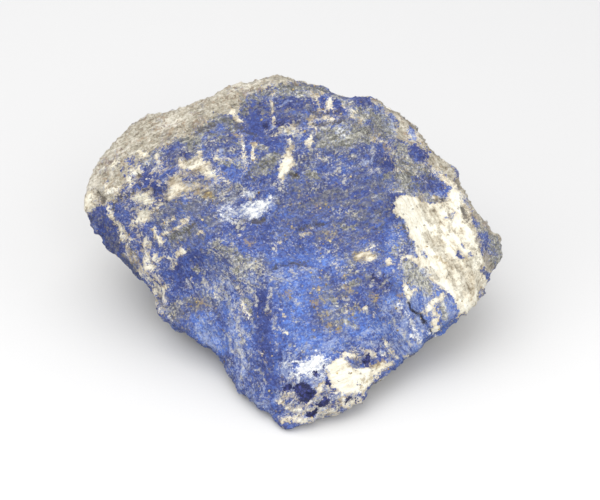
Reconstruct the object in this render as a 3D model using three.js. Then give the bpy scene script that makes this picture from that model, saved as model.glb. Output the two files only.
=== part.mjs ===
// Raw lapis lazuli: one hand-sized block as broken from the seam, in millimetres, +Z up.
// It lies on its flat underside with a broad broken face leaning towards -Y, a sharp toe
// at the front, a pointed tail at +X, and its old weathered rind at the back and left.
// The origin is on the surface it rests on, under the middle of the block.
import * as THREE from "three";
import { ConvexHull } from "three/addons/math/ConvexHull.js";
import { ImprovedNoise } from "three/addons/math/ImprovedNoise.js";

// Driving dimensions
const LONGEST_EDGE = 7.1; // triangles are split until no edge is longer than this
const WEAR_PASSES = 2; // rounds of averaging that take the knife edges off the corners
const FULLNESS = 1.1; // grown all round, to make up for what wear takes off
const HEART = new THREE.Vector3(-5, 12, 42); // a point deep inside, which sees every corner

// Swells and fracture scars: [size of one, height or depth]
const SWELL = [34, 1.6];
const RIPPLE = [13, 0.7];
const BIG_SCAR = [26, 2.6];
const SMALL_SCAR = [12, 0.9];
const FLAKE_RIM = 3; // half the width of the slope round a flake

// Corners of the block: where three or more fracture faces meet.
const CORNERS = {
  // the toe, and the lower edge from it along the right to the tail
  toe: [-8, -75, 0],
  toeRight: [8, -69, 4],
  shinToe: [16, -66, 5],
  shinFront: [24, -62, 7],
  shinMiddle: [38, -51, 10],
  shinBack: [51, -36, 14],
  flankFront: [63, -27, 18],
  flankMiddle: [75, -17, 22],
  flankBack: [84, -11, 26],
  tailUnder: [89, -1, 31],
  tailLow: [93, 3, 36],
  tail: [95, 9, 43],
  // the right rim, from the tail up to the crest
  rimLow: [82, 11, 53],
  rimStep: [75, 22, 60],
  rimNub: [73, 33, 65],
  rimMiddle: [66, 39, 71],
  rimShoulder: [59, 46, 77],
  rimHigh: [50, 55, 85],
  crestRight: [35, 61, 89],
  crestSaddle: [21, 58, 92],
  crestKnob: [10, 63, 95],
  crest: [-9, 67, 99],
  // the left rim, where the rind begins, down to the left nose
  crestLeft: [-24, 63, 97],
  rindHigh: [-40, 54, 94],
  rindMiddle: [-57, 49, 89],
  rindShoulder: [-74, 52, 82],
  rindLow: [-89, 48, 73],
  noseTop: [-98, 40, 62],
  nose: [-103, 28, 50],
  // the lower left edge, back to the toe
  jawBack: [-95, 15, 40],
  jawMiddle: [-77, 4, 31],
  jawFront: [-70, -3, 26],
  heel: [-64, -17, 17],
  heelNotch: [-50, -25, 14],
  heelFront: [-35, -35, 9],
  toeBack: [-26, -53, 5],
  toeLeft: [-17, -65, 3],
  // the arris between the left wall and the broken face
  arrisTop: [-38, -10, 56],
  arrisBend: [-22, -19, 50],
  arrisKnee: [-12, -28, 43],
  arrisLow: [-12, -48, 28],
  arrisToe: [-9, -60, 13],
  // the broken face
  frontLeft: [15, -28, 38],
  frontRight: [39, -31, 40],
  apronLeft: [13, -47, 25],
  apronRight: [37, -40, 22],
  apronLow: [15, -56, 13],
  hollowLeft: [-18, 0, 59],
  hollowMiddle: [0, 9, 58],
  hollowRight: [23, 4, 56],
  hollowTop: [14, 23, 68],
  bandTop: [64, 18, 63],
  bandHigh: [44, 14, 66],
  bandMiddle: [48, -12, 48],
  bandLow: [65, -20, 32],
  bandTail: [77, -1, 46],
  browLeft: [-21, 29, 83],
  browMiddle: [5, 34, 83],
  browRight: [32, 33, 78],
  topMiddle: [0, 46, 92],
  topRight: [23, 43, 88],
  // the lumpy left shoulder and the left wall
  shoulderTop: [-46, 30, 85],
  shoulderBack: [-78, 23, 68],
  shoulderMiddle: [-54, 18, 79],
  shoulderFront: [-34, 13, 72],
  shoulderLow: [-56, 3, 62],
  wallBack: [-82, 11, 54],
  wallMiddle: [-68, -1, 46],
  wallTop: [-33, -14, 44],
  wallFront: [-45, -16, 34],
  wallHeel: [-54, -15, 28],
  wallLow: [-29, -30, 28],
  // the weathered back
  backTopLeft: [-62, 76, 70],
  backTop: [-18, 88, 80],
  backTopRight: [32, 82, 72],
  backRight: [66, 62, 50],
  backLeft: [-88, 68, 46],
  backMiddle: [-25, 100, 46],
  backMiddleRight: [36, 94, 40],
  backLowLeft: [-68, 68, 14],
  backLow: [-15, 86, 8],
  backLowRight: [44, 76, 8],
  tailBack: [86, 34, 36],
  // the flat underside
  restToe: [-8, -58, -1],
  restFront: [14, -46, -1],
  restRight: [38, -18, -1],
  restTail: [58, 20, -1],
  restBackRight: [40, 60, -1],
  restBack: [-8, 70, -1],
  restBackLeft: [-52, 54, -1],
  restLeft: [-62, 22, -1],
  restHeel: [-42, -8, -1],
  restHeelFront: [-24, -36, -1],
  restMiddle: [0, 10, -2],
};

// Flakes struck off the faces: [x, y, z, radius, depth]. The floor is flat and the rim steep.
const FLAKES = {
  hollow: [9, 12, 62, 27, 1.3],
  underCrest: [-18, 45, 92, 11, 1.8],
  greyPatch: [-17, 21, 77, 8, 1.2],
  bandUpper: [59, 5, 53, 12, 1.4],
  bandLower: [70, -10, 38, 9, 1.2],
  slabFront: [46, -34, 29, 13, 1.6],
  jaw: [-95, 18, 46, 11, 1.0],
  wall: [-45, -17, 35, 14, 1.6],
  wallFront: [-24, -50, 14, 10, 0.9],
  brow: [42, 35, 77, 11, 1.3],
  backUpper: [-70, 72, 60, 20, 2.2],
  backMiddle: [4, 94, 55, 24, 2.4],
  backLower: [-40, 88, 22, 18, 2.0],
  backRight: [58, 70, 52, 17, 2.2],
  tailBehind: [88, 26, 40, 11, 1.4],
};

// Lumps left standing: [x, y, z, radius, height]. They are rounded.
const LUMPS = {
  litLedge: [-22, 5, 65, 7, 1.8],
  shoulderLeft: [-57, 19, 78, 12, 2.2],
  shoulderRight: [-41, 14, 75, 9, 1.6],
  shoulderOuter: [-71, 15, 66, 10, 1.8],
  shoulderBack: [-40, 24, 81, 9, 1.4],
  wallBand: [-55, -1, 61, 10, 1.4],
  arrisKnee: [-21, -21, 51, 8, 1.2],
  calcite: [20, -57, 16, 8, 1.4],
  indigo: [1, -61, 13, 6, 1.2],
  crestKnob: [10, 62, 95, 9, 1.4],
  crestLeft: [-12, 62, 98, 9, 1.2],
  crestRight: [31, 60, 90, 8, 1.4],
  rimNub: [76, 33, 66, 6, 1.0],
  rindKnob: [-72, 60, 80, 10, 1.6],
  backKnob: [-20, 96, 62, 14, 2.2],
  backRib: [30, 92, 44, 12, 2.0],
};

// The block's flat fracture faces, corner to corner: the corners are joined as a taut skin
// seen from the heart, which gives every pair of neighbours an edge.
function cornerSkin(corners, heart) {
  const points = Object.values(corners).map((at) => new THREE.Vector3(...at));
  const directions = points.map((p) => p.clone().sub(heart).normalize());
  const index = new Map(directions.map((d, i) => [d, i]));
  const hull = new ConvexHull().setFromPoints(directions);
  const triangles = hull.faces.map((face) => {
    const edges = [face.edge, face.edge.next, face.edge.next.next];
    return edges.map((edge) => index.get(edge.head().point));
  });
  return { points, triangles };
}

// Splits every edge longer than the limit at its middle, longest first, with both its triangles.
function refine({ points, triangles }, limit) {
  for (;;) {
    const edges = new Map();
    triangles.forEach((t, n) => {
      t.forEach((a, i) => {
        const b = t[(i + 1) % 3];
        const key = Math.min(a, b) + "_" + Math.max(a, b);
        if (!edges.has(key)) edges.set(key, { a, b, length: points[a].distanceTo(points[b]), at: [] });
        edges.get(key).at.push(n);
      });
    });
    const long = [...edges.values()].filter((e) => e.length > limit).sort((p, q) => q.length - p.length);
    if (!long.length) return { points, triangles };
    const touched = new Set();
    for (const { a, b, at } of long) {
      if (at.some((n) => touched.has(n))) continue;
      at.forEach((n) => touched.add(n));
      const middle = points.push(points[a].clone().lerp(points[b], 0.5)) - 1;
      for (const n of at) {
        const t = triangles[n];
        triangles[n] = t.map((v) => (v === b ? middle : v));
        triangles.push(t.map((v) => (v === a ? middle : v)));
      }
    }
  }
}

// Which points each point is joined to.
function neighbours({ points, triangles }) {
  const near = points.map(() => new Set());
  for (const t of triangles) t.forEach((a, i) => near[a].add(t[(i + 1) % 3]).add(t[(i + 2) % 3]));
  return near;
}

// Wear: each point moves half of the way to the middle of its neighbours.
function wear(skin, passes) {
  const near = neighbours(skin);
  for (let pass = 0; pass < passes; pass++) {
    const middles = near.map((set) => {
      const sum = new THREE.Vector3();
      set.forEach((i) => sum.add(skin.points[i]));
      return sum.divideScalar(set.size);
    });
    skin.points.forEach((p, i) => p.lerp(middles[i], 0.5));
  }
}

// A fixed pseudo-random number from 0 to 1 for whole-number cell coordinates.
function chance(x, y, z, seed) {
  const s = Math.sin(x * 127.1 + y * 311.7 + z * 74.7 + seed * 53.3) * 43758.5453;
  return s - Math.floor(s);
}

// Fracture scars: 0 at the bottom of a scar, up to 1 on the sharp ridge between two of them.
function scar(p, size) {
  const q = p.clone().divideScalar(size);
  const home = q.clone().floor();
  const centre = new THREE.Vector3();
  let nearest = 1;
  for (let n = 0; n < 27; n++) {
    const step = new THREE.Vector3(n % 3, Math.floor(n / 3) % 3, Math.floor(n / 9));
    const cell = home.clone().add(step).subScalar(1);
    const jitter = [1, 2, 3].map((seed) => chance(cell.x, cell.y, cell.z, seed));
    nearest = Math.min(nearest, centre.fromArray(jitter).add(cell).distanceToSquared(q));
  }
  return nearest;
}

const perlin = new ImprovedNoise();
const swell = (p, size) => perlin.noise(p.x / size, p.y / size, p.z / size);

// How far the flakes and lumps near a point move it outwards.
function relief(p) {
  const wander = 1 + 0.35 * swell(p, 9); // keeps the rims from being round
  const away = ([x, y, z]) => p.distanceTo(new THREE.Vector3(x, y, z)) * wander;
  let height = 0;
  for (const flake of Object.values(FLAKES)) {
    const [radius, depth] = flake.slice(3);
    height -= depth * (1 - THREE.MathUtils.smoothstep(away(flake), radius - FLAKE_RIM, radius + FLAKE_RIM));
  }
  for (const lump of Object.values(LUMPS)) {
    const [radius, rise] = lump.slice(3);
    height += rise * Math.max(0, 1 - (away(lump) / radius) ** 2);
  }
  return height;
}

// Moves every point along its normal by the relief, the swells, the ripples and the scars.
function roughen({ points, triangles }) {
  const normals = points.map(() => new THREE.Vector3());
  for (const [a, b, c] of triangles) {
    const face = points[b].clone().sub(points[a]).cross(points[c].clone().sub(points[a]));
    for (const i of [a, b, c]) normals[i].add(face);
  }
  points.forEach((p, i) => {
    const height =
      FULLNESS +
      relief(p) +
      SWELL[1] * swell(p, SWELL[0]) +
      RIPPLE[1] * swell(p, RIPPLE[0]) +
      BIG_SCAR[1] * (scar(p, BIG_SCAR[0]) - 0.35) +
      SMALL_SCAR[1] * (scar(p, SMALL_SCAR[0]) - 0.35);
    p.addScaledVector(normals[i].normalize(), height);
  });
}

// Sets the block down: what would reach below the resting surface is broken off flat.
function seat({ points }) {
  for (const p of points) p.z = Math.max(p.z, 0);
}

function blockGeometry() {
  const skin = refine(cornerSkin(CORNERS, HEART), LONGEST_EDGE);
  wear(skin, WEAR_PASSES);
  roughen(skin);
  seat(skin);
  const geometry = new THREE.BufferGeometry().setFromPoints(skin.points).setIndex(skin.triangles.flat());
  geometry.computeBoundingBox();
  const middle = geometry.boundingBox.getCenter(new THREE.Vector3());
  geometry.translate(-middle.x, -middle.y, 0);
  geometry.computeVertexNormals();
  return geometry;
}

const lapis = new THREE.MeshStandardMaterial({ color: 0x3a4f9e, roughness: 0.75, metalness: 0 });
const block = new THREE.Mesh(blockGeometry(), lapis);
block.name = "lapis_block";

const group = new THREE.Group();
group.add(block);
export default group;
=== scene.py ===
# %% [markdown]
# # Raw lapis lazuli
# A block of lapis lazuli as it is broken from the seam. Lapis is a rock, not one mineral: blue
# lazurite grains, cream calcite in bands and nests, specks of pyrite, and a weathered grey rind
# where the block faced the open joint. The solid shape comes from the CAD frame. This lesson
# dresses it: a finer skin, a map of where each mineral lies, relief, one layered stone material
# and a scatter of pyrite grains.

# %% Load the frame
import math

import bmesh
import bpy
import numpy as np
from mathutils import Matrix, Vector, noise


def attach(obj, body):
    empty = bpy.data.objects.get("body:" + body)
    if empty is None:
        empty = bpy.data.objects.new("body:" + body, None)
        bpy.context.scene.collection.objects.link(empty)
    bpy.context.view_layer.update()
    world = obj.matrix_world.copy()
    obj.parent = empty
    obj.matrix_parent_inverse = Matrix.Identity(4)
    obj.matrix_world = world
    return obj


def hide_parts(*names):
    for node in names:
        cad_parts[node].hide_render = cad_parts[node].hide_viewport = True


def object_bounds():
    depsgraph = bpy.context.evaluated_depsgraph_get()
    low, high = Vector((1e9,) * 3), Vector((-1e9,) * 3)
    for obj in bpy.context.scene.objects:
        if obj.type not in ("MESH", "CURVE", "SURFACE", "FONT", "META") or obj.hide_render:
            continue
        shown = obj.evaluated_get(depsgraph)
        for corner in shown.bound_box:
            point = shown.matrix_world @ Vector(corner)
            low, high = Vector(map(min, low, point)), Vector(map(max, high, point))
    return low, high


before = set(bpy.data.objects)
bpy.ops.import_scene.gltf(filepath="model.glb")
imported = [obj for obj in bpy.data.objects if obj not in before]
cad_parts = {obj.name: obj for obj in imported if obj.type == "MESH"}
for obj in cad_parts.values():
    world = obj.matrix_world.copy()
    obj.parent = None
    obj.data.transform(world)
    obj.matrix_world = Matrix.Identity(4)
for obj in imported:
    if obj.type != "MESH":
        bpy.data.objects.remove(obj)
CAD_BOX = [list(corner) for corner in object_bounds()]
BLOCK = "lapis_block"
MM = 0.001  # lengths below are in millimetres times MM
print("block", [round((hi - lo) / MM, 1) for lo, hi in zip(*CAD_BOX)], "mm")

# %% [markdown]
# ## Camera
# The block is seen from in front and 35 degrees above, from arm's length, through a fairly long
# lens. A camera can be placed by hand or made to track an empty. Here it is set by where it looks
# and how far off it stands, because the same numbers serve later to lay the markings on the front
# of the stone.

# %% Camera
LOOK_AT = Vector((4.0, -13.7, 45.0)) * MM
ELEVATION = math.radians(35)
DISTANCE = 600 * MM
LENS, SENSOR = 79.2, 36  # both in mm, as a camera maker gives them

towards_eye = Vector((0, -math.cos(ELEVATION), math.sin(ELEVATION)))
board_right = Vector((1, 0, 0))
board_up = towards_eye.cross(board_right)
eye = LOOK_AT + towards_eye * DISTANCE


def show(name, data):
    """An object at the origin, put in the scene."""
    placed = bpy.data.objects.new(name, data)
    bpy.context.scene.collection.objects.link(placed)
    return placed


camera = show("camera", bpy.data.cameras.new("camera"))
camera.data.lens, camera.data.sensor_width, camera.data.clip_start = LENS, SENSOR, 10 * MM
camera.location = eye
camera.rotation_euler = towards_eye.to_track_quat("Z", "Y").to_euler()
bpy.context.scene.camera = camera
print("camera at", [round(v / MM) for v in camera.location])

# %% [markdown]
# ## Stage
# The stone lies on a wide round sheet of pale paper, wide enough to fill the view from every side
# and a little greyer behind the stone. Every material and every Geometry Nodes tree below is built
# with a few helpers, and they come first. A node can be added by hand in the editor, but a
# function says in one line what feeds it.

# %% Adding nodes
def node(tree, kind, inputs=None, **settings):
    """Adds a node, sets its properties, and fills or links its inputs by name or number."""
    made = tree.nodes.new(kind)
    for name, value in settings.items():
        setattr(made, name, value)
    for key, value in (inputs or {}).items():
        if isinstance(value, bpy.types.NodeSocket):
            tree.links.new(value, made.inputs[key])
        else:
            made.inputs[key].default_value = value
    return made


def after(kind, inputs, **settings):
    """A node in the same tree as the sockets that feed it."""
    fed_by = next(value for value in inputs.values() if isinstance(value, bpy.types.NodeSocket))
    return node(fed_by.id_data, kind, inputs, **settings)


def feed(target, value):
    """Links a value into the input of a shader or of a tree's output."""
    value.id_data.links.new(value, target)


def scaled(vector, factor):
    """A vector or a colour times a number."""
    return after("ShaderNodeVectorMath", {0: vector, "Scale": factor}, operation="SCALE").outputs[0]


print("nodes can be added in Blender", bpy.app.version_string)

# %% [markdown]
# A noise, a smooth step and the mixing of two colours are all that paper needs. They need a few
# values worked out on the way. A new material starts from its place on the piece in millimetres,
# so that every size in it can be read off a ruler.

# %% Helpers for values and colours
def axis(vector, letter):
    """One coordinate of a vector."""
    return after("ShaderNodeSeparateXYZ", {0: vector}).outputs[letter]


def calc(operation, *values):
    """A Math node's result: ADD, MULTIPLY and so on."""
    return after("ShaderNodeMath", dict(enumerate(values)), operation=operation).outputs[0]


def product(first, *others):
    """All the values multiplied together."""
    for other in others:
        first = calc("MULTIPLY", first, other)
    return first


def blend(value, low, high, out_low=0.0, out_high=1.0):
    """A smooth step: out_low below low, out_high above high."""
    return after("ShaderNodeMapRange", {0: value, 1: low, 2: high, 3: out_low, 4: out_high},
                 interpolation_type="SMOOTHSTEP").outputs[0]


def speckle(where, size, detail=2.0, roughness=0.5, distortion=0.0):
    """Noise from 0 to 1 with features of a size in millimetres."""
    return after("ShaderNodeTexNoise", {"Vector": where, "Scale": 1 / size, "Detail": detail,
                 "Roughness": roughness, "Distortion": distortion}).outputs[0]


def over(below, above, amount, share=1.0):
    """Lays one colour over another by an amount from 0 to 1, or by a share of it."""
    below, above = ((*c, 1) if isinstance(c, tuple) else c for c in (below, above))
    amount = amount if share == 1.0 else product(amount, share)
    return after("ShaderNodeMix", {0: amount, 6: below, 7: above}, data_type="RGBA").outputs[2]


def new_material(name):
    """A material, its shader's inputs, and the place on the piece in millimetres."""
    material = bpy.data.materials.new(name)
    material.use_nodes = True
    tree = material.node_tree
    place = node(tree, "ShaderNodeTexCoord").outputs["Object"]
    return material, tree.nodes["Principled BSDF"].inputs, scaled(place, 1 / MM)


print("helpers:", [helper.__name__ for helper in (axis, calc, product, blend, speckle, over)])

# %% [markdown]
# The paper's two colours are mixed by a fine noise, and the whole is darkened from front to back
# by a smooth step along Y. A graded light would do it too, but a shade in the paper stays where it
# is when the lights move.

# %% Floor
PAPER, PAPER_SHADE = (0.575, 0.57, 0.56), (0.552, 0.5472, 0.5376)
FIBRE_SIZE = 10 / 9  # mm
GREY_FROM, GREY_TO, GREYEST = -120, 90, 0.88  # mm from front to back, and how grey it gets
FLOOR_RADIUS, FLOOR_SIDES = 6000 * MM, 48

paper, surface, where = new_material("paper")
fibres = over(PAPER, PAPER_SHADE, speckle(where, FIBRE_SIZE, 3.0))
greyed = blend(axis(where, "Y"), GREY_FROM, GREY_TO, 1.0, GREYEST)
feed(surface["Base Color"], scaled(fibres, greyed))
surface["Roughness"].default_value = 0.9

floor_mesh = bpy.data.meshes.new("floor")
turns = [math.radians(360 * side / FLOOR_SIDES) for side in range(FLOOR_SIDES)]
rim = [(FLOOR_RADIUS * math.cos(turn), FLOOR_RADIUS * math.sin(turn), 0.0) for turn in turns]
floor_mesh.from_pydata(rim, [], [list(range(FLOOR_SIDES))])
floor_mesh.materials.append(paper)
floor = show("floor", floor_mesh)
print("floor:", round(2 * FLOOR_RADIUS / MM), "mm across")

# %% [markdown]
# ## Lights
# Two soft boxes and a pale room. The broad box hangs overhead and is the key. The lower one in
# front lifts the face of the stone, and the room opens the shadows. Area lights are used because
# a rough stone under a small lamp would break into hard little shadows.

# %% Lights
ROOM_COLOUR, ROOM_STRENGTH = (0.96, 0.97, 1.0, 1), 1.19


def soft_box(name, place, size, watts):
    """A rectangular area light at a place in metres, pointed at the stone."""
    light = bpy.data.lights.new(name, "AREA")
    light.shape = "RECTANGLE"
    light.size, light.size_y = size
    light.energy = watts
    lamp = show(name, light)
    lamp.location = Vector(place)
    lamp.rotation_euler = (Vector(place) - LOOK_AT).to_track_quat("Z", "Y").to_euler()


soft_box("key", place=(-0.24, 0.10, 1.10), size=(1.6, 1.3), watts=10.2)
soft_box("front box", place=(0.25, -1.20, 0.90), size=(1.0, 0.6), watts=9.5)
world = bpy.data.worlds.new("room")
world.use_nodes = True
air = world.node_tree.nodes["Background"].inputs
air["Color"].default_value, air["Strength"].default_value = ROOM_COLOUR, ROOM_STRENGTH
bpy.context.scene.world = world
bpy.context.scene.view_settings.view_transform = "Standard"

# %% [markdown]
# ## A finer skin
# The CAD solid has flat facets several millimetres across. A broken stone has none of that size,
# so the copy is first rounded once with a subdivision surface and then remeshed into small even
# faces of about a millimetre, which can carry both relief and a map of the minerals. Remeshing
# by voxels is used because it gives even faces everywhere, whatever the facets were like.

# %% Remeshed copy
SKIN_FACE = 1.05 * MM
SAME_POINT = 0.001 * MM


def baked(holder, name):
    """The evaluated object as a plain mesh, with every modifier taken off the holder."""
    evaluated = holder.evaluated_get(bpy.context.evaluated_depsgraph_get())
    mesh = bpy.data.meshes.new_from_object(evaluated)
    mesh.name = name
    holder.modifiers.clear()
    return mesh


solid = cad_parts[BLOCK]
skin_mesh = bpy.data.meshes.new("stone_skin")
cleaner = bmesh.new()
cleaner.from_mesh(solid.data)
cleaner.transform(solid.matrix_world)
bmesh.ops.remove_doubles(cleaner, verts=cleaner.verts, dist=SAME_POINT)
cleaner.to_mesh(skin_mesh)
cleaner.free()
skin_mesh.materials.clear()
stone = show("lapis_stone", skin_mesh)
rounding = stone.modifiers.new("rounding", "SUBSURF")
rounding.levels = rounding.render_levels = 1
remesh = stone.modifiers.new("even faces", "REMESH")
remesh.mode = "VOXEL"
remesh.voxel_size = SKIN_FACE
stone.data = baked(stone, "stone_skin")
print("skin:", len(stone.data.vertices), "points,", len(stone.data.polygons), "faces")

# %% [markdown]
# ## Where each mineral lies
# The veins and nests are drawn as a geologist would sketch them on a sheet held up in front of
# the block: millimetres across and up from the middle of the view. An outline is a closed patch.
# A stroke is a line with a width, given first. Each point of the skin finds its place on that sheet
# along the line of sight, so the markings land on the front of the stone without any unwrapping.
# Their edges are shaken a little by noise, because no mineral ends in a clean line.
#
# First comes the brown rind, which weathered in an open joint. It lies along the top edge.

# %% The sketch: rind
OUTLINES, STROKES = {}, {}
OUTLINES["rind"] = [
    # along the top left, from the nose to the crest
    [(-112, 12), (-97, 15), (-93, 19), (-90, 22), (-85, 20), (-82.5, 24.5), (-80.5, 28), (-80, 32),
     (-78, 35), (-75, 37), (-74, 40), (-70, 40), (-70, 43), (-67, 45), (-62, 46.5), (-59, 49.5),
     (-55, 51.5), (-50, 52), (-47, 54.5), (-43, 57.5), (-38, 61.5), (-33, 62.5), (-29, 62),
     (-26.5, 65), (-26.5, 69), (-21, 71.5), (-15, 73.5), (-9, 75.5), (-3, 77), (2, 78), (6, 92),
     (-60, 85), (-115, 60)],
    # along the right rim, down to the tail
    [(33, 67), (37, 65), (40, 60), (43, 57), (45, 51), (49, 49.5), (54, 48.5), (58, 44), (58.5, 40),
     (62, 35.5), (66, 32.5), (69, 29.5), (72, 27), (75, 22), (78, 15), (82, 11), (87, 8), (92, 3),
     (110, 6), (90, 40), (60, 66), (36, 76)],
]
print("rind:", len(OUTLINES["rind"]), "outlines")

# %% [markdown]
# Grey rock lies between the rind and the blue, and in lenses inside the blue.

# %% The sketch: grey rock
OUTLINES["grey"] = [
    # the tail
    [(80, 10), (84, 11), (88, 8.5), (93, 4.5), (97, -2), (92, -9), (87, -12), (84, -8), (86, -3),
     (84, 2), (82, 8)],
    # along and under the crest
    [(-21, 70), (-14, 73), (-6, 76), (0, 77), (6, 75.5), (10, 76), (14, 73), (9, 71.5), (2, 72),
     (-4, 73), (-12, 70.5)],
    [(-23, 36), (-20, 41), (-14, 44), (-9.5, 45), (-9, 42), (-12, 38), (-13, 34), (-20, 33)],
    [(8, 46), (8, 52), (11, 54), (17, 55.5), (20, 57), (26, 58.5), (32, 57), (36, 54), (34, 50.5),
     (31, 48), (27, 48), (23, 47), (15, 46)],
    [(20, 61), (24, 64.5), (31, 65), (36, 62), (41, 57), (44, 52), (40, 51), (36, 55), (30, 59),
     (24, 59.5)],
    [(42, 48), (45, 49), (50, 48), (49, 43), (52, 39.5), (57, 39), (58, 35), (52, 33), (50, 29),
     (55, 26), (60, 25), (66, 24), (64, 21), (58, 22), (50, 25), (43, 28), (43.5, 38)],
    # along the lower edge of the rind
    [(-59, 51), (-56, 54), (-50, 54), (-45, 57), (-38, 62), (-32, 61), (-34, 58), (-40, 57),
     (-44, 52), (-43, 48), (-46, 46), (-50, 49), (-54, 50.5)],
    [(-72, 42), (-71, 47), (-66, 49), (-65, 45), (-68, 42)],
    # the dull lens on the left wall, and beside the crack
    [(-61, 5), (-57, 8), (-52, 12), (-49, 10), (-52, 5), (-57, 3)],
    [(45, -8), (47, -5.5), (50, -4.5), (54, -8), (59, -13), (62, -18), (58, -20), (53, -17),
     (48, -13)],
]
STROKES["grey"] = [
    [4, (-60, 52), (-52, 50.5), (-46, 48)], [4, (-10, 71), (-3, 71), (3, 70.5)],
    [3, (17, 69.5), (23, 67)], [3.4, (-22, 71), (-16, 71)], [3, (-20, 47), (-16, 45)],
    [2.4, (-31, 41), (-28, 39)], [2.2, (-28, 63), (-27, 66)], [3, (-22, 69), (-19, 68)],
    [3.2, (-26, 69), (-25, 62)], [4, (4, 35.5), (7, 34)], [3, (-71, 39), (-63, 44)],
    [3, (-39, 60), (-31, 58)], [2.4, (-43, 25), (-38, 24.5)], [3, (64, -24), (66, -31)],
    [2.4, (-30, -9), (-25, -11)], [2.2, (-48, -9), (-45, -10)], [3.4, (-37, 2.5), (-31, 0)],
    [1.8, (43, 0), (46, 2.5)], [1.4, (16, -23), (18, -27)], [2.6, (39, 33), (42, 35)],
    [2.4, (-37, 41), (-33, 39)], [2.4, (-25, -23), (-23, -26)], [3, (48, 30), (53, 28.5)],
    [2.4, (-41, 52), (-37, 51)], [1.6, (-29, 51), (-28, 48)], [2.2, (-33, 55), (-29, 54)],
    [2.2, (-5, 35), (-2, 33)], [2.4, (-28, -3), (-24, -4)], [2.4, (20, 10), (25, 10)],
    [2, (20, -33), (24, -34)], [2.2, (22, -15), (27, -15.5)], [2.6, (-50, 48), (-47, 43)],
    [2.4, (-9, 55), (-3, 53)],
]
print("grey rock:", len(OUTLINES["grey"]), "outlines,", len(STROKES["grey"]), "strokes")

# %% [markdown]
# Calcite is the white of lapis. It fills a broad band at the right, a nest above the toe, and
# wedges and leaves over the left shoulder. Patches are outlines, and veins are strokes.

# %% The sketch: patches of calcite
OUTLINES["cream"] = [
    # the broad band at the right
    [(43.5, 23), (42.5, 19), (46, 15), (48.5, 9), (51, 5), (52, 1), (52, -2), (54, -7.5),
     (58.5, -13), (64, -17.5), (69, -21), (72, -27), (72.5, -31), (77, -27), (83, -22), (86, -15),
     (88, -12), (84, -4), (81, 3), (80, 10), (77, 16), (75, 21), (73, 26), (70, 29), (67.5, 27),
     (66, 22.5), (62, 20.5), (58, 21), (55, 23), (50, 25), (47.5, 24.5)],
    # the nest above the toe, and its rim
    [(11.5, -55), (13.5, -52), (17, -50), (20, -47.5), (21.5, -48.5), (21.5, -52), (24, -53.5),
     (27, -54), (31, -53.5), (35, -52), (36, -55), (33, -57), (33.5, -60), (31, -63.5), (28, -66),
     (24, -66), (21, -66), (17, -63), (14, -61.5), (13, -58)],
    [(41, -50.5), (41.5, -52), (38, -54.5), (34, -57.5), (33, -55.5), (38, -52)],
    # the white leaf under the crest, and two small patches beside it
    [(-5, 46), (-3.2, 42), (-4, 37), (-6.5, 33), (-8.5, 29.5), (-10, 32), (-9.5, 37), (-8, 41),
     (-6.5, 44.5)],
    [(2, 49), (4, 51), (6.5, 51.5), (6.8, 48), (6.5, 46.5), (4.5, 48)],
    [(11, 64), (11.5, 67), (14.5, 69), (15, 66), (13.5, 64)],
    # patches on the left shoulder
    [(-57, 41), (-54, 42.5), (-51, 41), (-47.5, 42), (-46.5, 45.5), (-44.5, 41), (-41, 40),
     (-38, 36), (-36, 33), (-39, 31.5), (-43, 32.5), (-46, 35.5), (-51, 36.5), (-55, 38)],
    [(-60, 22), (-61, 26), (-60, 30), (-57, 33), (-54, 31), (-50, 30), (-47, 31), (-43, 29.5),
     (-41, 28), (-45, 27.5), (-50, 27), (-56, 24)],
    [(-75, 26), (-69, 26), (-67.5, 22.5), (-68, 20), (-73, 21), (-75.5, 23)],
    [(-74, 18), (-69.5, 19.5), (-67.5, 17), (-67, 14), (-70, 12.5), (-76, 10.5), (-78, 11.5),
     (-74, 14.5)],
    [(-70.5, -2), (-69, 0), (-68, -2), (-67.5, -5), (-65, -6.5), (-65, -8), (-68, -9), (-72, -8.5),
     (-72.5, -7), (-70.5, -6)],
    # the nose, and bare patches in the rind beside it
    [(-99, 19), (-98, 22), (-95, 26), (-93, 27), (-92.5, 23), (-94, 20), (-97, 19)],
    [(-87, 38), (-84, 41), (-82, 39), (-84, 37)],
    [(-88, 26), (-85.5, 29.5), (-82.5, 28), (-83, 26), (-85, 24)],
    [(-79, 32), (-76, 36), (-73, 38), (-72, 35), (-76, 32), (-78, 30)],
    # wedges beside the crack
    [(46.5, -14.5), (48.5, -16), (52.5, -18.5), (51, -21), (49, -24), (47.5, -20)],
    [(54, -28), (58, -25.5), (61, -22), (65.5, -18.5), (64, -23), (61, -26.5), (57, -29)],
    [(59.5, -30), (61.5, -31), (63, -34), (64.5, -36), (62, -38.5), (59.5, -38), (60, -34)],
]
print("calcite patches:", len(OUTLINES["cream"]))

# %% [markdown]
# Thin veins and splinters of the same calcite run between the patches.

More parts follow.
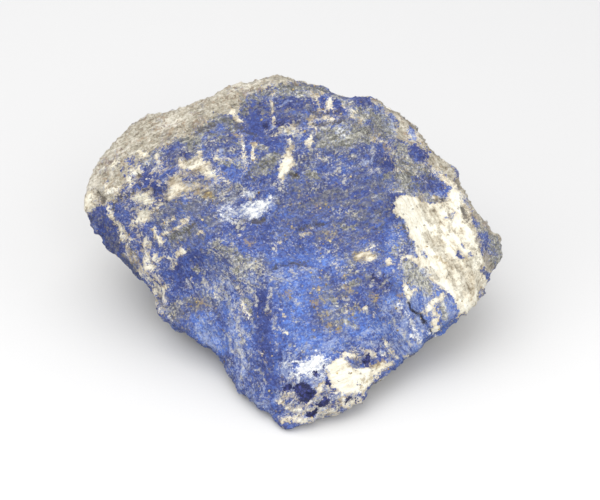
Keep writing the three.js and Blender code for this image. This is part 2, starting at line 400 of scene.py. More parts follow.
# %% The sketch: veins of calcite
STROKES["cream"] = [
    # under the crest
    [0.9, (-12.5, 72), (-12.3, 66), (-12.5, 62), (-11.5, 58)], [1.5, (-5.5, 49), (-3.8, 45.5)],
    [1.1, (5, 73), (7, 69.5), (8, 66), (8.3, 64)], [0.4, (4.5, 60), (4.5, 58), (6.5, 55), (7, 52)],
    [0.9, (7, 46), (8, 44), (9, 42)], [1.4, (9, 71.5), (10, 71)], [1.8, (11, 60), (15, 58.5)],
    [1.2, (15, 62), (17, 60)], [1.4, (20.5, 66), (22, 64), (25, 62.5)], [1.2, (23, 60.5), (28, 60)],
    [1.2, (42.5, 27), (46, 26.5)], [2, (-55, 36), (-52, 34.5)], [1.2, (-66, -3), (-64, -5)],
    [1.6, (60, 37), (64, 33), (68, 30)], [1, (32, 51), (35, 49.5), (38, 49)],
    # the left shoulder, from the rind down
    [2.6, (-31, 63), (-29.5, 60)], [1.8, (-29.5, 60), (-28, 57.5)],
    [1.2, (-27.5, 53), (-26.5, 49), (-26, 46)], [0.8, (-19.5, 48), (-20.5, 45), (-22, 42)],
    [0.7, (-26.5, 44), (-25.5, 40), (-25, 36)], [2.4, (-73, 44), (-71, 43)],
    [0.7, (-40, 44), (-38.5, 42), (-38, 45)], [2, (-64.5, 42), (-63.5, 40)],
    [1.4, (-66, 37), (-63, 38)], [0.8, (-36, 42), (-31, 42)], [1, (-36, 33), (-33, 30)],
    [1, (-64, 21), (-66, 19.5)], [1.6, (-78, 31), (-74.5, 31.5)],
    [1.2, (-87, 19), (-85, 15), (-84, 12)], [2.6, (-83, 13), (-81, 9), (-80, 5.5)],
    [1, (-79, 3), (-77, -2)],
    # the left wall
    [2.6, (-66.5, 9), (-65, 6), (-63.5, 3)], [1.6, (-71, 4), (-70, -1)],
    [1.2, (-80, -2), (-76, -5)], [2, (-72, -10), (-68, -14)],
    [1.2, (-68, -15), (-65, -18), (-62, -17)], [1.2, (-63.5, -18), (-63, -22), (-63, -27)],
    [1.2, (-66, -18), (-66, -23), (-64, -28)], [1.3, (-62, 12.5), (-58, 13.5)],
    [1.5, (-62, 7.5), (-57, 9), (-54, 13), (-51, 14)], [1, (-62, -3), (-58, -3.5), (-54, -2)],
    [2.4, (-55, -1.5), (-52.5, -0.5)], [0.8, (-56, -4), (-59, -9)], [0.9, (-38, -20), (-36.5, -23)],
    [1, (-27, -24), (-25.5, -27), (-23.5, -29)], [0.5, (-47.5, 7), (-45, 8)],
    [1.2, (-18.8, -46), (-17.5, -48)],
    # the arris and the front face beside it
    [0.8, (-10, -26), (-8, -29)], [1.2, (-8, -36), (-6.5, -38)], [1, (1, 7.5), (4, 8.5)],
    [0.5, (-12, 1), (-9, 3)],
    # the middle and lower right of the front face
    [2.8, (25, -3), (30, -3.5), (33, -3.5)], [1.3, (31, -1), (34, 2)], [1.9, (54, -6), (50, -3)],
    [1.1, (50, -3), (47, -4), (45, -7)], [2.6, (39, -5), (40, -4)], [1.6, (60, 24), (63, 25)],
    [1.5, (28.5, -28), (30, -27.3)], [1, (33, -29)], [1, (16, -6), (18, -8)],
    [0.5, (37.5, -40), (39.5, -43.5), (42, -46.5), (43.5, -49)], [1.6, (60, -28), (62, -30)],
    [1.8, (30, -46.5), (34, -47.5)], [2.4, (20, -48), (24.5, -48)], [1.2, (36, -46), (38, -48)],
    [1.4, (47.5, -48), (49.5, -49)], [1.8, (34, -57), (36, -55.5)],
    # the foot of the toe
    [2.2, (-8, -77), (-3, -77), (3, -77)], [1.6, (-6, -66), (-4, -65)],
    [0.9, (-8.5, -65), (-8.5, -69)], [2.4, (8, -65), (10, -61)],
    [2.4, (18, -66), (22, -70.5), (26, -67.5)], [1.8, (12.5, -64), (15.5, -65)],
    [1.6, (4, -69.5), (8, -66)], [1.2, (10, -75), (16, -73)], [1.8, (-5, -72), (0, -73)],
]
print("calcite veins:", len(STROKES["cream"]))

# %% [markdown]
# Three pale things are thinner than calcite. Frost is crushed white over blue, and its first
# outline is a painted highlight, where a ledge below the left shoulder faces the light. Threads are
# the finest veins, and streaks are grey-brown smears along the grain of the broad band.

# %% The sketch: frost, threads and streaks
OUTLINES["frost_and_highlight"] = [
    # painted highlight: the glare on a ledge facing the light; the outline after it is real frost
    # on the toe
    [(-32, 17), (-27, 18), (-24, 20.5), (-19, 23), (-14, 24), (-12.5, 21.5), (-15, 18.5), (-18, 16),
     (-20.5, 13.5), (-25, 15.5)],
    [(-1, -54), (1, -52), (3, -50), (6, -48), (8.5, -47), (10.5, -49.5), (13.5, -52.5), (13, -54.5),
     (10, -56), (5, -56), (0, -56)],
]
STROKES["frost_and_highlight"] = [
    [1, (-14, 25), (-12, 23)], [1.2, (-25, 25), (-22, 25)], [0.9, (54, 1), (57, -3)],
    [1, (56, -9), (59, -12)], [1.2, (58.5, -38.5), (62, -38.5)], [1, (17.5, 54.5), (20.5, 54)],
    [1, (50, -33), (54, -39)], [0.8, (45, -25), (48, -30)], [0.9, (51, -39), (55, -41)],
    [1.4, (-36, 18), (-33, 20), (-30, 19)], [1, (-36, 16), (-33, 14.5), (-31, 12.5)],
    [1.6, (-7, -52), (-3, -54)], [1.3, (-5, -50.5), (-1, -51)], [1.2, (-4, -56), (-1, -58)],
    [2.2, (4, -57), (10, -57)],
]
STROKES["thread"] = [
    [0.9, (33.5, 47), (33.5, 43)], [0.9, (18, 39), (18, 36)], [0.8, (12, 34), (13, 35)],
    [0.8, (31, 37), (36, 36.5)], [0.9, (11, 54), (16, 55), (19, 57)], [0.9, (12, 50), (18, 52)],
    [0.8, (23, 50), (27, 53), (31, 55)], [0.8, (22, 33), (20.5, 31)],
    [0.8, (-22, -31), (-20.5, -35)], [0.7, (-34, -12), (-33, -16)], [1, (-29, -30), (-27, -37)],
    [0.7, (-26, -43), (-22, -48)], [1, (-28.5, -44), (-26.5, -52), (-27, -58)],
    [0.7, (-52, -14), (-50, -17)], [0.8, (-33, -38), (-30, -46)], [0.8, (-24, -17), (-20, -25)],
    [0.7, (-58, -4), (-60, -9)], [0.7, (-44, -12), (-41, -18)], [0.8, (-39, -15), (-36, -23)],
    [0.7, (-19, -54), (-16, -60)], [0.7, (-31, 12), (-26, 9)], [0.8, (48, 44), (52, 36), (56, 31)],
    [0.7, (52, 44), (56, 38)], [0.7, (24, 64), (31, 60)], [0.8, (-4, -10), (-2, -13)],
    [0.8, (1, -9), (6, -8.5)], [0.8, (20, -21), (23, -22)],
    [0.8, (-13, -17.5), (-13.5, -20), (-15, -24), (-14.5, -28)],
    [0.6, (-11.3, -31), (-10.8, -36), (-11.3, -46)], [1, (-2, -22.5), (0.5, -25)],
    [0.8, (31, 37), (37, 35)], [0.7, (50, -39), (55, -42)], [0.9, (34, -13.5)],
    [0.8, (41.5, -8.5), (43, -11)], [0.9, (35.5, -11)], [0.9, (36, -16)], [0.9, (38.3, -15)],
    [0.8, (40, -12)], [0.9, (39, -19)], [0.8, (33, -16)], [0.6, (-9, 54), (-4, 55.5)],
    [0.6, (-6, 52), (-1, 56)], [0.8, (43, -25), (46, -31)], [0.7, (45, -35), (50, -43)],
    [0.7, (49, -30), (52, -36)], [0.7, (41, -30), (45, -36)], [1, (-37, 19), (-31, 21)],
]
STROKES["streak"] = [
    [1.8, (54, 24), (56.5, 18), (60, 12)], [2.6, (58, 7), (61, 1), (66, -4), (68.5, -8)],
    [1, (71, 9), (74, 5), (77, 1), (80, -3), (82, -8)],
    [2.2, (73.5, 21), (76, 15), (79, 9), (81, 3), (85, -4), (88, -10)],
    [1.6, (60.5, 18), (62.5, 13), (63.5, 6)], [1.6, (62, 23), (65.5, 22.5)],
    [1.8, (69.5, -5), (73, -10), (75, -15), (77, -20)], [2.4, (77, -6), (81, -14), (83, -19)],
    [1, (66, 20), (68, 14), (69, 8)], [1, (70, -13), (74, -21)], [1.2, (59, -8), (63, -14)],
    [1.8, (-91, 25), (-89, 22)], [1, (-52, 40), (-46, 41.5)], [1.4, (63, 4), (66, -4)],
    [0.8, (67, -9), (71, -17)],
]
print("frost, threads and streaks:", [len(STROKES[kind]) for kind in ("frost_and_highlight", "thread", "streak")])

# %% [markdown]
# Islands of clean blue are cut out of the other minerals. That is simpler than drawing every
# mineral around them.

# %% The sketch: islands of blue
OUTLINES["blue"] = [
    [(50, 48), (55, 47.5), (58, 44), (58, 41), (53, 40), (49.5, 43)],
    [(55.5, 30.5), (58.5, 32.5), (63, 31), (65.5, 28), (66.5, 24), (63, 25.5), (58, 25),
     (54, 27.5)],
    [(81.5, 8), (84, 8), (85.5, 4), (85, 0), (83.5, -1.5), (82, 1)],
    [(32, 54), (34, 55), (37, 51), (35, 49.5), (32.5, 51.5)],
    [(-74, 31), (-70, 36), (-68, 35.5), (-68, 33), (-63, 34), (-61, 31), (-62, 26), (-63, 22),
     (-66, 22), (-68, 25.5), (-71, 27.5), (-73, 29)],
]
STROKES["blue"] = [
    [2.8, (70, 38), (71.5, 34)], [2, (50.5, 55), (52, 53), (53, 51.5)], [2, (71.5, -1), (73, -3)],
    [1.3, (76, -3), (77, -3)], [1.2, (74, 2), (75, 1)], [2.6, (83, -8), (86, -13)],
    [1.4, (83.5, -18), (83, -21)], [3.4, (38.5, -57.5), (42, -54.5), (48, -50.5)],
    [2.6, (40, 61), (43, 57)], [1.4, (54, 0), (57, -4)], [2.4, (18.5, 55.5), (21.5, 54)],
    [2.4, (46, 1), (49.5, 0)], [2, (4, -72.5), (7, -72)], [1.6, (48.5, 3), (51, -0.5)],
    [3.2, (1, -70.5), (6, -72)], [2, (-6, -67.5), (-3, -69.5)], [1.8, (9, -73.5), (14, -72)],
    [1.6, (-1, -75), (2, -74)], [1.6, (-82, 38), (-81, 37)], [1.4, (-77, 40), (-76, 38)],
    [1.2, (-87, 31)], [1.2, (66, 14), (69, 16)], [1.6, (-68, -11), (-66, -11)],
]
print("blue islands:", len(OUTLINES["blue"] + STROKES["blue"]))

# %% [markdown]
# Last the small dark things: indigo lazurite crystals in the toe, painted shadow in creases and
# under ledges, rust around decayed pyrite, and the one open crack, whose dark colour is painted
# shadow in its groove.

# %% The sketch: crystals, painted shadows in creases, rust and the crack
OUTLINES["indigo"] = [
    [(-8, -63), (-6, -60), (-3, -60), (-2, -62), (-4, -64.5), (-7, -65)],
    [(-2.5, -62), (-1, -60), (3, -60), (5, -62.5), (7, -64), (6, -66.5), (4.5, -67), (2.5, -70),
     (0, -68.5), (-2, -65)],
    [(6, -71.7), (8, -69.2), (10.5, -67.2), (14, -68.2), (12.5, -71.7), (8.5, -73)],
    [(2.5, -71), (3.5, -75), (7.5, -75.5), (8.5, -71.5), (5, -70.3)],
    [(10.5, -58.5), (13, -58), (14, -61), (12, -62.5)],
]
STROKES["indigo"] = [
    [1.4, (11, -54), (12, -53)], [1.3, (10.5, -57.5)], [2.2, (11.5, -59), (12.5, -61)],
    [1.8, (5, -71), (8, -70.5)], [1.4, (0, -69.5), (1, -71)], [1.6, (-5, -68)],
    [3.2, (30, -49), (30.5, -51)], [1.2, (26.5, -62)], [2.2, (22, -68.5)], [1.5, (25, -68)],
    [1.2, (7.5, -76.8)], [1.2, (36, -13.5), (37, -15)], [1.2, (39, -18), (40, -16.5)],
    [1, (41.5, -13)], [1.2, (33, -11), (34, -12)], [1.1, (38, -11)], [1.2, (35, -17)],
    [0.9, (32, -14.5)], [1, (39, -13.5)], [0.9, (37, -19)], [2.2, (-10, 57), (-8, 56)],
    [1.6, (-16, 57)], [1.2, (6.5, -56)],
]
# painted shadow: dark lines under ledges and in creases, which are also sunk a little in the relief
STROKES["crease"] = [
    [1.6, (-27, 14.5), (-23, 13), (-19, 12), (-16, 13.5)], [1.2, (-48, 53.5), (-43, 56), (-39, 58)],
    [1.2, (-91.5, 26), (-90, 22)], [0.9, (6, 56), (12, 56.5), (19, 58.5), (24, 61)],
    [1, (-30, 57), (-25, 54), (-20, 52.5)], [0.9, (-24, 34), (-20, 32)],
    [2.2, (-4, 33), (-1.5, 34)], [0.8, (-74, 31), (-71, 28), (-69.5, 27.5)],
    [0.7, (-81, 26), (-83.5, 22), (-85, 18)], [0.9, (-76, 26), (-80, 23)],
    [1.8, (73.5, 19), (76, 14)], [1.1, (62, 23.5), (65, 23)], [0.8, (-74, 36), (-73, 33)],
    [1, (53, 31.5), (58, 33), (62, 32.5)], [0.8, (0, 9.5), (6, 11), (14, 13)],
    [0.8, (-62, 6), (-55, 7), (-47, 12)], [0.8, (44, 17), (48, 9), (50, 3)],
    [1.2, (52, -26), (55, -30)], [0.8, (5, 63), (11, 62), (17, 64)],
    [0.8, (-12, -8), (-2, -7), (6, -7)],
]
STROKES["rust"] = [
    [2, (-20.3, 48), (-20.6, 46)], [1.2, (35, 53), (36, 52)], [1.3, (45, 10.5), (46.5, 9.5)],
    [1.5, (-25, 4), (-22, 3)], [1.4, (13, 8), (14, 7)], [1, (7.5, 20)], [1.1, (39, 46.5)],
    [1.2, (6, -25), (7, -24)], [1, (9, -17)], [1, (4, -33)], [0.9, (-6.5, -20), (-5, -20.8)],
    [1.2, (20, -16), (21.5, -17)], [1, (-47, 26), (-42, 24)], [1.2, (-41, 24.5), (-39, 23)],
    [1.2, (63, -4), (65, -6)], [1, (33, -20.5), (34, -23)], [1.2, (45, -20), (46.5, -21.5)],
    [1, (19, -67), (22, -67)], [1.6, (33, -53), (38, -51.5)], [1.2, (27, -62), (32, -58)],
    [1, (-45, -24)], [0.9, (-6, 62)], [1, (-29, 51.5)], [1, (21, -26)],
    [1.2, (13, -34), (18, -35.5)],
]
# the crack is a real groove in the relief; its dark colour is painted shadow in it
STROKES["crack"] = [
    [0.6, (47, -21.5), (50.5, -24.5)], [1.2, (50.5, -24.5), (54.5, -29), (57, -33)],
    [0.9, (57, -33), (60.5, -38.5)],
]
print("dark things:", [len(STROKES[kind]) for kind in ("indigo", "crease", "rust", "crack")])

# %% [markdown]
# Some changes in the stone have no edge at all. They are washes: broad strokes that fade out over
# their softness, the second number. Three of them set the tone of the blue: dull where brown dust
# lies in the hollow, bright on the fresh faces and painted light on faces the lamps reach less and
# on a lit ledge, deep where the lazurite is purest and painted shade on faces turned from the
# light.

# %% The sketch: tones of the blue
WASHES = {}
WASHES["dull"] = [
    [8, 3, (24, -3), (34, -3)], [6, 5, (16, 16), (24, 18)], [6, 4, (-6, 21), (-2, 20)],
    [5, 3, (17, 42), (23, 42)], [8, 4, (-2, -70), (8, -66)], [8, 4, (26, 30), (30, 31)],
    [4, 4, (1, 15), (7, 15)], [5, 4, (-6, 21), (0, 22)], [5, 3, (-49, 54), (-42, 56)],
    [7, 5, (18, 18), (23, 19)], [3, 3, (-82, 33), (-80, 31)], [8, 4, (-44, 24), (-30, 26)],
    [7, 4, (-57, 41), (-45, 40)], [5, 3, (-54, 37), (-42, 36)], [6, 3, (-60, 27), (-44, 29)],
    [6, 3, (-39, 59), (-31, 57)], [4, 3, (-26, 68), (-24, 60)], [5, 3, (-60, 50), (-48, 48)],
    [16, 8, (2, 27), (16, 23), (30, 18), (36, 28)], [8, 6, (64, 4), (72, -8), (78, -16)],
    [5, 3, (61, 19), (63, 12)], [6, 5, (76, 14), (74, 8)], [2, 8, (-10, 12), (6, 8), (24, 8)],
    [11, 4, (-62, 16), (-50, 18), (-40, 13), (-56, 6)], [5, 3, (-10, 76), (2, 75), (10, 73)],
    [8, 4, (-44, -22), (-52, -26), (-58, -29)], [7, 3, (32, -11), (41, -16)],
    [10, 5, (56, 31), (48, 36)], [9, 7, (-20, 66), (-6, 62), (8, 62)], [9, 6, (-46, 54), (-34, 51)],
    [6, 6, (-14, 24), (-4, 14)], [8, 4, (-50, 52), (-42, 56), (-36, 59)],
    [8, 4, (-90, 14), (-84, 2), (-76, -6)], [6, 3, (-20, 37), (-12, 42)],
    [12, 5, (12, 50), (26, 54), (38, 57)], [6, 9, (-4, 42), (20, 42), (38, 40)],
    [5, 7, (10, -16), (18, -34)], [4, 5, (24, -6), (30, -8)],
    [6, 4, (-34, -3), (-26, -7), (-16, -8)], [1, 8, (-40, -6), (-36, -24), (-44, -34)],
    [3, 4, (26, -50)],
]
# partly painted light: it lifts faces that take little light, and the highlight on the ledge at the
# left
WASHES["bright"] = [
    [8, 4, (47, 20), (54, 6), (62, -8), (71, -24)], [5, 3, (-21, 18), (-14, 21)],
    [6, 3, (69, 26), (70, 14), (74, 6)], [7, 4, (22, -58), (28, -60)], [6, 3, (1, -55), (9, -50)],
    [8, 4, (-10, -12), (4, -14), (10, -20)], [6, 4, (-14, -3), (-4, -5), (4, -3)],
    [14, 5, (-5, -16), (-1, -26), (-5, -38)], [12, 4, (-4, -42), (16, -42)],
    [8, 4, (5, -12), (22, -38), (34, -36)], [10, 5, (22, -32), (40, -34)],
    [8, 5, (-46, -34), (-36, -44)], [8, 4, (8, -4), (20, -8)], [8, 3, (45, -14), (43, -22)],
    [1, 5, (-36, 50), (-34, 36)], [7, 3, (47, 12), (42, 2), (40, -8)],
    [6, 4, (-40, -18), (-22, -44)], [3, 2, (-11.5, -46), (-11, -55)],
    [4, 3, (56, -18), (66, -22), (70, -30)], [7, 3, (50, -48), (62, -38), (71, -32)],
    [4, 3, (44, -51), (56, -43)], [14, 5, (50, -18), (58, -30), (54, -42)],
    [5, 3, (60, -8), (68, -20)],
]
# partly painted shade: the steep strip left of the arris and the wall below the nose
WASHES["deep"] = [
    [5, 3, (-18, -40), (-15, -50), (-13.5, -60)], [4, 2.5, (-12.5, -44), (-11.5, -56)],
    [8, 4, (-14, 56), (-6, 58)], [5, 3, (-36, 50), (-32, 50)], [3, 3, (-9, -28), (-9, -50)],
    [3, 3, (1, 42), (4, 42)], [7, 1.2, (-19, -22), (-16, -30), (-15.5, -42), (-14, -50)],
    [8, 3, (-48, -5), (-52, -14)], [1, 10, (4, 24), (30, 22)],
    [7, 3, (-92, 16), (-90, 10), (-82, 0)], [6, 2, (55, 31), (63, 29)],
    [8, 3, (-56, -8), (-53, -12)], [7, 3, (-70, 32), (-65, 26)], [13, 5, (-20, 62), (-13, 54)],
    [6, 2, (36, 42), (40, 40)], [6, 2, (52, 46), (56, 43)], [5, 2, (25, 67), (32, 68)],
    [5, 3, (44, 18), (42, 24)], [5, 3, (33, -14), (40, -17)], [4, 3, (8, 67), (18, 64)],
    [6, 3, (-8, 66), (4, 68)], [6, 3, (-60, 44), (-50, 44)], [5, 2, (-91, 19), (-86, 10)],
]
print("tone washes:", {kind: len(lines) for kind, lines in WASHES.items()})

# %% [markdown]
# The next washes say what is mixed into the blue. Pale is a haze of fine calcite, and golden is
# pyrite dust, which also says where the pyrite grains lie thick.

# %% The sketch: haze and pyrite dust
WASHES["pale"] = [
    [7, 4, (-97, 22), (-90, 36), (-84, 45)], [4, 4, (-62, 56), (-52, 60)],
    [3, 4, (-24, 74), (-14, 77)], [9, 3, (-6, -54), (-2, -58), (7, -60)],
    [9, 4, (-4, -72), (4, -75), (14, -72)], [11, 3, (45, -27), (50, -36), (46, -42)],
    [9, 3, (50, -10), (57, -18)], [8, 3, (50, -20), (64, -24)], [7, 4, (-45, -34), (-40, -42)],
    [6, 4, (-20, -66), (-16, -72)], [1, 5, (-52, -14), (-48, -20)], [6, 3, (66, -24), (67, -30)],
    [1, 3, (-20, -9), (-9, -9)], [2, 2, (2, -9.5), (7, -9)],
    [6, 7, (-34, -10), (-31, -28), (-28, -44), (-26, -58)], [5, 5, (-22, -8), (-22, -18)],
    [7, 4, (2, -43), (20, -42)], [9, 4, (55, -22), (57, -34), (51, -45)],
    [4, 3, (36, 65), (44, 58), (54, 50)], [6, 4, (13, 50), (22, 52)], [3, 2, (22, 61), (29, 60)],
    [6, 6, (24, -38), (38, -36)], [5, 3, (-36, 15), (-28, 16), (-14, 20)],
    [6, 3, (38, 60), (42, 54)], [6, 3, (-12, 54), (-2, 54)], [6, 3, (18, -68), (24, -67)],
    [5, 3, (30, -44), (40, -45)], [2, 2, (-36, 45), (-35, 48)], [2, 3, (-5, -14), (-2, -20)],
    [3, 3, (-27, 26), (-20, 26)], [4, 3, (42, 27), (46, 28)], [6, 3, (40, -27), (43, -31)],
    [3, 3, (-10, -62), (-9.5, -70)], [4, 3, (-7, -49), (-2, -49)], [4, 3, (-12, -12), (-8, -14)],
    [4, 3, (-30, -9), (-25, -11)], [3, 2, (60, 26), (63, 25)], [3, 4, (-8, 67), (4, 69)],
    [5, 4, (-26, -60), (-24, -65)], [4, 3, (29, 41), (33, 41)], [1, 5, (-40, 28), (-30, 24)],
    [4, 3, (50, 0), (54, -6), (60, -13)],
]
WASHES["golden"] = [
    [7, 4, (8, -12), (9, -22), (13, -34)], [6, 4, (23, -12), (22, -26), (18, -34)],
    [4, 3, (5, -20), (6, -25)], [3, 2, (-7, -20), (-5, -21)], [4, 2, (12, -33), (19, -35)],
    [4, 3, (33, -20), (34, -24)], [3, 2, (44, 11), (46, 10)], [2, 7, (12, 6), (30, 4)],
    [3, 2, (-24, 3), (-22, 3)], [4, 3, (-5, 9), (-4, 14)], [1, 4, (0, 24), (14, 18)],
    [5, 4, (-44, -24), (-56, -28)], [3, 2, (-44, 25), (-36, 22)], [3, 3, (-20, -8), (-26, -6)],
    [3, 2, (34, 53), (37, 52)], [3, 3, (-5, 21), (-2, 21)],
]
print("haze and dust:", {kind: len(WASHES[kind]) for kind in ("pale", "golden")})

# %% [markdown]
# Sandy grains and chalky nests are mixed in too, and in mottled ground every mineral breaks up at
# its edge.

# %% The sketch: sand, chalk and mottled ground
WASHES["sandy"] = [
    [6, 4, (-44, 24), (-37, 23)], [4, 3, (-12, -12), (-8, -14)], [4, 3, (-50, -9), (-44, -10)],
    [3, 3, (17, 35), (22, 35)], [4, 3, (-62, 43), (-50, 47)], [4, 3, (-12, 31), (-9, 27)],
    [5, 4, (10, 0), (18, -2)], [4, 4, (-8, 55), (0, 52)], [3, 3, (-42, 52), (-39, 56)],
    [4, 3, (17, 44), (23, 44)], [5, 3, (-37, 2), (-30, -1)], [4, 3, (-22, 69), (-16, 72)],
    [4, 3, (-4, 71), (6, 70)], [4, 3, (17, 69), (23, 67)],
    [5, 3, (-40, 1), (-33, -3), (-26, -7), (-18, -9)], [4, 3, (-36, -18), (-33, -20)],
    [8, 4, (-32, 14), (-26, 12)], [8, 5, (-32, -12), (-20, -16)], [4, 5, (-30, -24), (-25, -44)],
    [5, 3, (28, -3), (34, -1)], [10, 4, (48, -9), (57, -17)], [6, 4, (44, 4), (46, -1)],
    [3, 4, (13, -13), (17, -27), (15, -34)], [2, 4, (23, -14), (22, -28)],
    [3, 5, (18, -9), (27, -10)], [4, 4, (-42, -16), (-38, -26)], [4, 4, (-56, -24), (-60, -31)],
    [5, 4, (14, -13), (19, -16)], [3, 3, (11, -3), (15, -3)], [3, 3, (-27, 28), (-22, 26)],
    [5, 4, (10, 54), (26, 52), (38, 50)], [5, 5, (-6, 40), (6, 43), (16, 42)],
    [3, 4, (-8, -50), (-2, -46)], [3, 4, (-8, 56), (-2, 58)], [10, 4, (7, -73), (13, -71)],
    [3, 4, (17, 18), (23, 18)], [3, 4, (3, 28), (8, 28)], [4, 3, (-41, 50), (-37, 50)],
    [4, 3, (-13, 52), (-10, 52)], [4, 3, (-63, 2), (-60, 1)], [3, 4, (-34, 50), (-24, 40)],
    [4, 4, (-64, 17), (-60, 12)],
]
WASHES["chalky"] = [
    [4, 3, (-6, -66), (-3, -65)], [3, 3, (-5, -77), (0, -77)], [4, 3, (-7, 54), (-3, 55)],
    [4, 3, (-75, 18), (-71, 24)], [4, 4, (-80, 30), (-72, 38)], [4, 4, (-64, -13), (-63, -24)],
    [4, 3, (10, 60), (18, 58)],
]
WASHES["mottled"] = [
    [18, 6, (-80, 26), (-70, 24), (-56, 32), (-42, 32)], [12, 5, (-76, 8), (-70, -8)],
    [14, 4, (-3, -64), (2, -72), (12, -70)], [7, 4, (-12, 54), (4, 56), (10, 62)],
    [12, 5, (44, 44), (48, 36), (56, 37)], [7, 4, (20, -68), (26, -68)],
    [6, 4, (26, -48), (32, -49)], [8, 5, (-22, 26), (-34, 27)], [8, 4, (-66, -14), (-64, -24)],
    [1, 8, (8, 66), (26, 56), (38, 54)], [1, 5, (-30, -12), (-24, -34)],
]
print("mixed in:", {kind: len(WASHES[kind]) for kind in ("sandy", "chalky", "mottled")})

# %% [markdown]
# Three washes are about shape. Steep says where the grain of the rock runs steeply down to the
# right. Worn and proud say where the broken rim is rubbed back, and where a knob stands out.

# %% The sketch: lie of the rock
WASHES["steep"] = [
    [44, 8, (-66, -4), (-34, -50)], [20, 6, (-24, -24), (-14, -62)],
    [34, 8, (56, 40), (70, 6), (66, -40)], [20, 6, (44, -26), (52, -40)],
    [16, 6, (44, 58), (60, 46)],
]
WASHES["worn"] = [
    [3, 2.5, (-24, 77), (-16, 79), (-8, 79.5), (0, 78), (5, 76)],
    [3, 2, (73, 31.2), (73.5, 30), (76, 26.5), (78, 22)],
    [3, 2.5, (6, 75), (14, 73), (20, 71), (33, 71), (38, 68)],
    [3, 2.5, (8, -79), (18, -76), (25, -72)], [3, 2.5, (35, -61.5), (41, -57)],
    [4, 3, (59, -43), (64, -38.5), (73, -32)],
    [5, 3, (-84, -4), (-76, -11), (-69, -17), (-66, -23)],
    [2, 2, (-60, -35), (-50, -41), (-42, -46), (-36, -52)],
    [3, 2.5, (38, 67), (46, 63), (52, 57), (58, 50), (63, 44)],
]
WASHES["proud"] = [
    [4, 1.5, (69.5, 38), (71.5, 35)], [2.5, 1.5, (-94.5, 11), (-92.5, 7)],
]
print("shape washes:", {kind: len(WASHES[kind]) for kind in ("steep", "worn", "proud")})

# %% [markdown]
# ## From the sketch to the stone
# Every point of the skin gets a signed distance, in millimetres, to the nearest edge of each
# mineral: above zero inside, below zero outside. The map could be painted on a texture, but a
# distance can be sharpened later in the material to an edge far finer than the faces.

# %% Signed distances
def to_strokes(spots, lines):
    """Distance inside the nearest stroke, for an array of places on the sheet."""
    best = np.full(len(spots), -99.0)
    for width, *corners in lines:
        corners = np.array(corners, float)
        starts, ends = (corners[:-1], corners[1:]) if len(corners) > 1 else (corners, corners)
        for start, end in zip(starts, ends):
            along = end - start
            length = max(float(along @ along), 1e-9)
            part = np.clip((spots - start) @ along / length, 0, 1)
            away = np.linalg.norm(spots - start - part[:, None] * along, axis=1)
            best = np.maximum(best, width / 2 - away)
    return best


def to_outlines(spots, shapes):
    """Distance inside the nearest closed outline, for an array of places on the sheet."""
    best = np.full(len(spots), -99.0)
    for shape in shapes:
        edge = to_strokes(spots, [[0, *shape, shape[0]]])  # minus the distance to the edge
        inside = np.zeros(len(spots), bool)
        for (ax, ay), (bx, by) in zip(shape, shape[1:] + shape[:1]):
            if ay != by:
                crosses = (spots[:, 1] > ay) != (spots[:, 1] > by)
                inside ^= crosses & (spots[:, 0] < (bx - ax) * (spots[:, 1] - ay) / (by - ay) + ax)
        best = np.maximum(best, np.where(inside, -edge, edge))
    return best


def to_washes(spots, lines):
    """0 to 1: how strongly a wash lies over each place."""
    strength = np.zeros(len(spots))
    for width, softness, *corners in lines:
        deep = to_strokes(spots, [[width, *corners]])
        strength = np.maximum(strength, np.clip(0.5 + deep / (2 * softness), 0, 1))
    return strength * strength * (3 - 2 * strength)


middle = np.zeros((1, 2))
print("inside the middle of a line 2 mm wide:", to_strokes(middle, [[2, (-1, 0), (1, 0)]])[0], "mm")

# %% [markdown]
# The line of sight through a point of the skin meets the sheet at that point's place there. Noise
# of two sizes pushes the places about, and with them every edge that was drawn. Points that turn
# away from the eye are told apart here too, because the sheet can't reach them.

# %% Places on the sheet
WOBBLES = [(6, 1.6), (2.2, 0.7)]  # mm: the size of a wobble and how far it reaches
LOST_BELOW, LOST_OVER = -0.2, 0.15  # how squarely a point faces the eye where the sheet loses it


def noise_at(points, size, seed=0.0):
    """Perlin noise from -1 to 1 at every point, with features of a size in millimetres."""
    shift = Vector((seed, -seed, 2 * seed))
    return np.array([noise.noise(Vector(p) / size + shift) for p in points])


def wander(points, size, reach):
    """A small push for every point, for shaking edges out of line."""
    return np.array([noise.noise_vector(Vector(p) / size) for p in points]) * reach


noise.seed_set(3)  # noise_vector is the same in every run only after this
count = len(stone.data.vertices)
raw = np.empty(count * 3)
stone.data.vertices.foreach_get("co", raw)
points = raw.reshape(-1, 3) / MM
stone.data.vertices.foreach_get("normal", raw)
normals = raw.reshape(-1, 3).copy()

sight = points - np.array(eye) / MM
depth = -(sight @ np.array(towards_eye))
sheet = np.stack([sight @ np.array(board_right), sight @ np.array(board_up)], 1)
sheet *= (DISTANCE / MM / depth)[:, None]
sheet += sum(wander(points, size, reach)[:, :2] for size, reach in WOBBLES)
facing = -(normals * sight).sum(1) / np.linalg.norm(sight, axis=1)
seen = np.clip((facing - LOST_BELOW) / LOST_OVER, 0, 1)
print("seen from the front:", int((seen > 0.5).sum()), "of", count, "points")

# %% [markdown]
# The hidden sides take a pattern of their own, worked out in the block's own space. Noises of
# four sizes shape it. A vein is wherever a slow, bent noise passes through zero. The broad band
# of calcite is carried through the block as the flat sheet that a vein really is.

# %% Noises for the hidden sides
VEIN_APART = 44
BAND_ALONG, BAND_INWARD = np.array([0.46, -0.51, -0.73]), np.array([0.25, 0.95, -0.1])
BAND_HALF, BAND_TAPER = 8, 0.10  # mm, and how much thinner it gets per mm towards the back
BAND_AT = (60, -2)  # where it crosses the sheet
BACKWARDS = np.array([-0.25, 0.8, 0.25])  # the side that faced the open joint

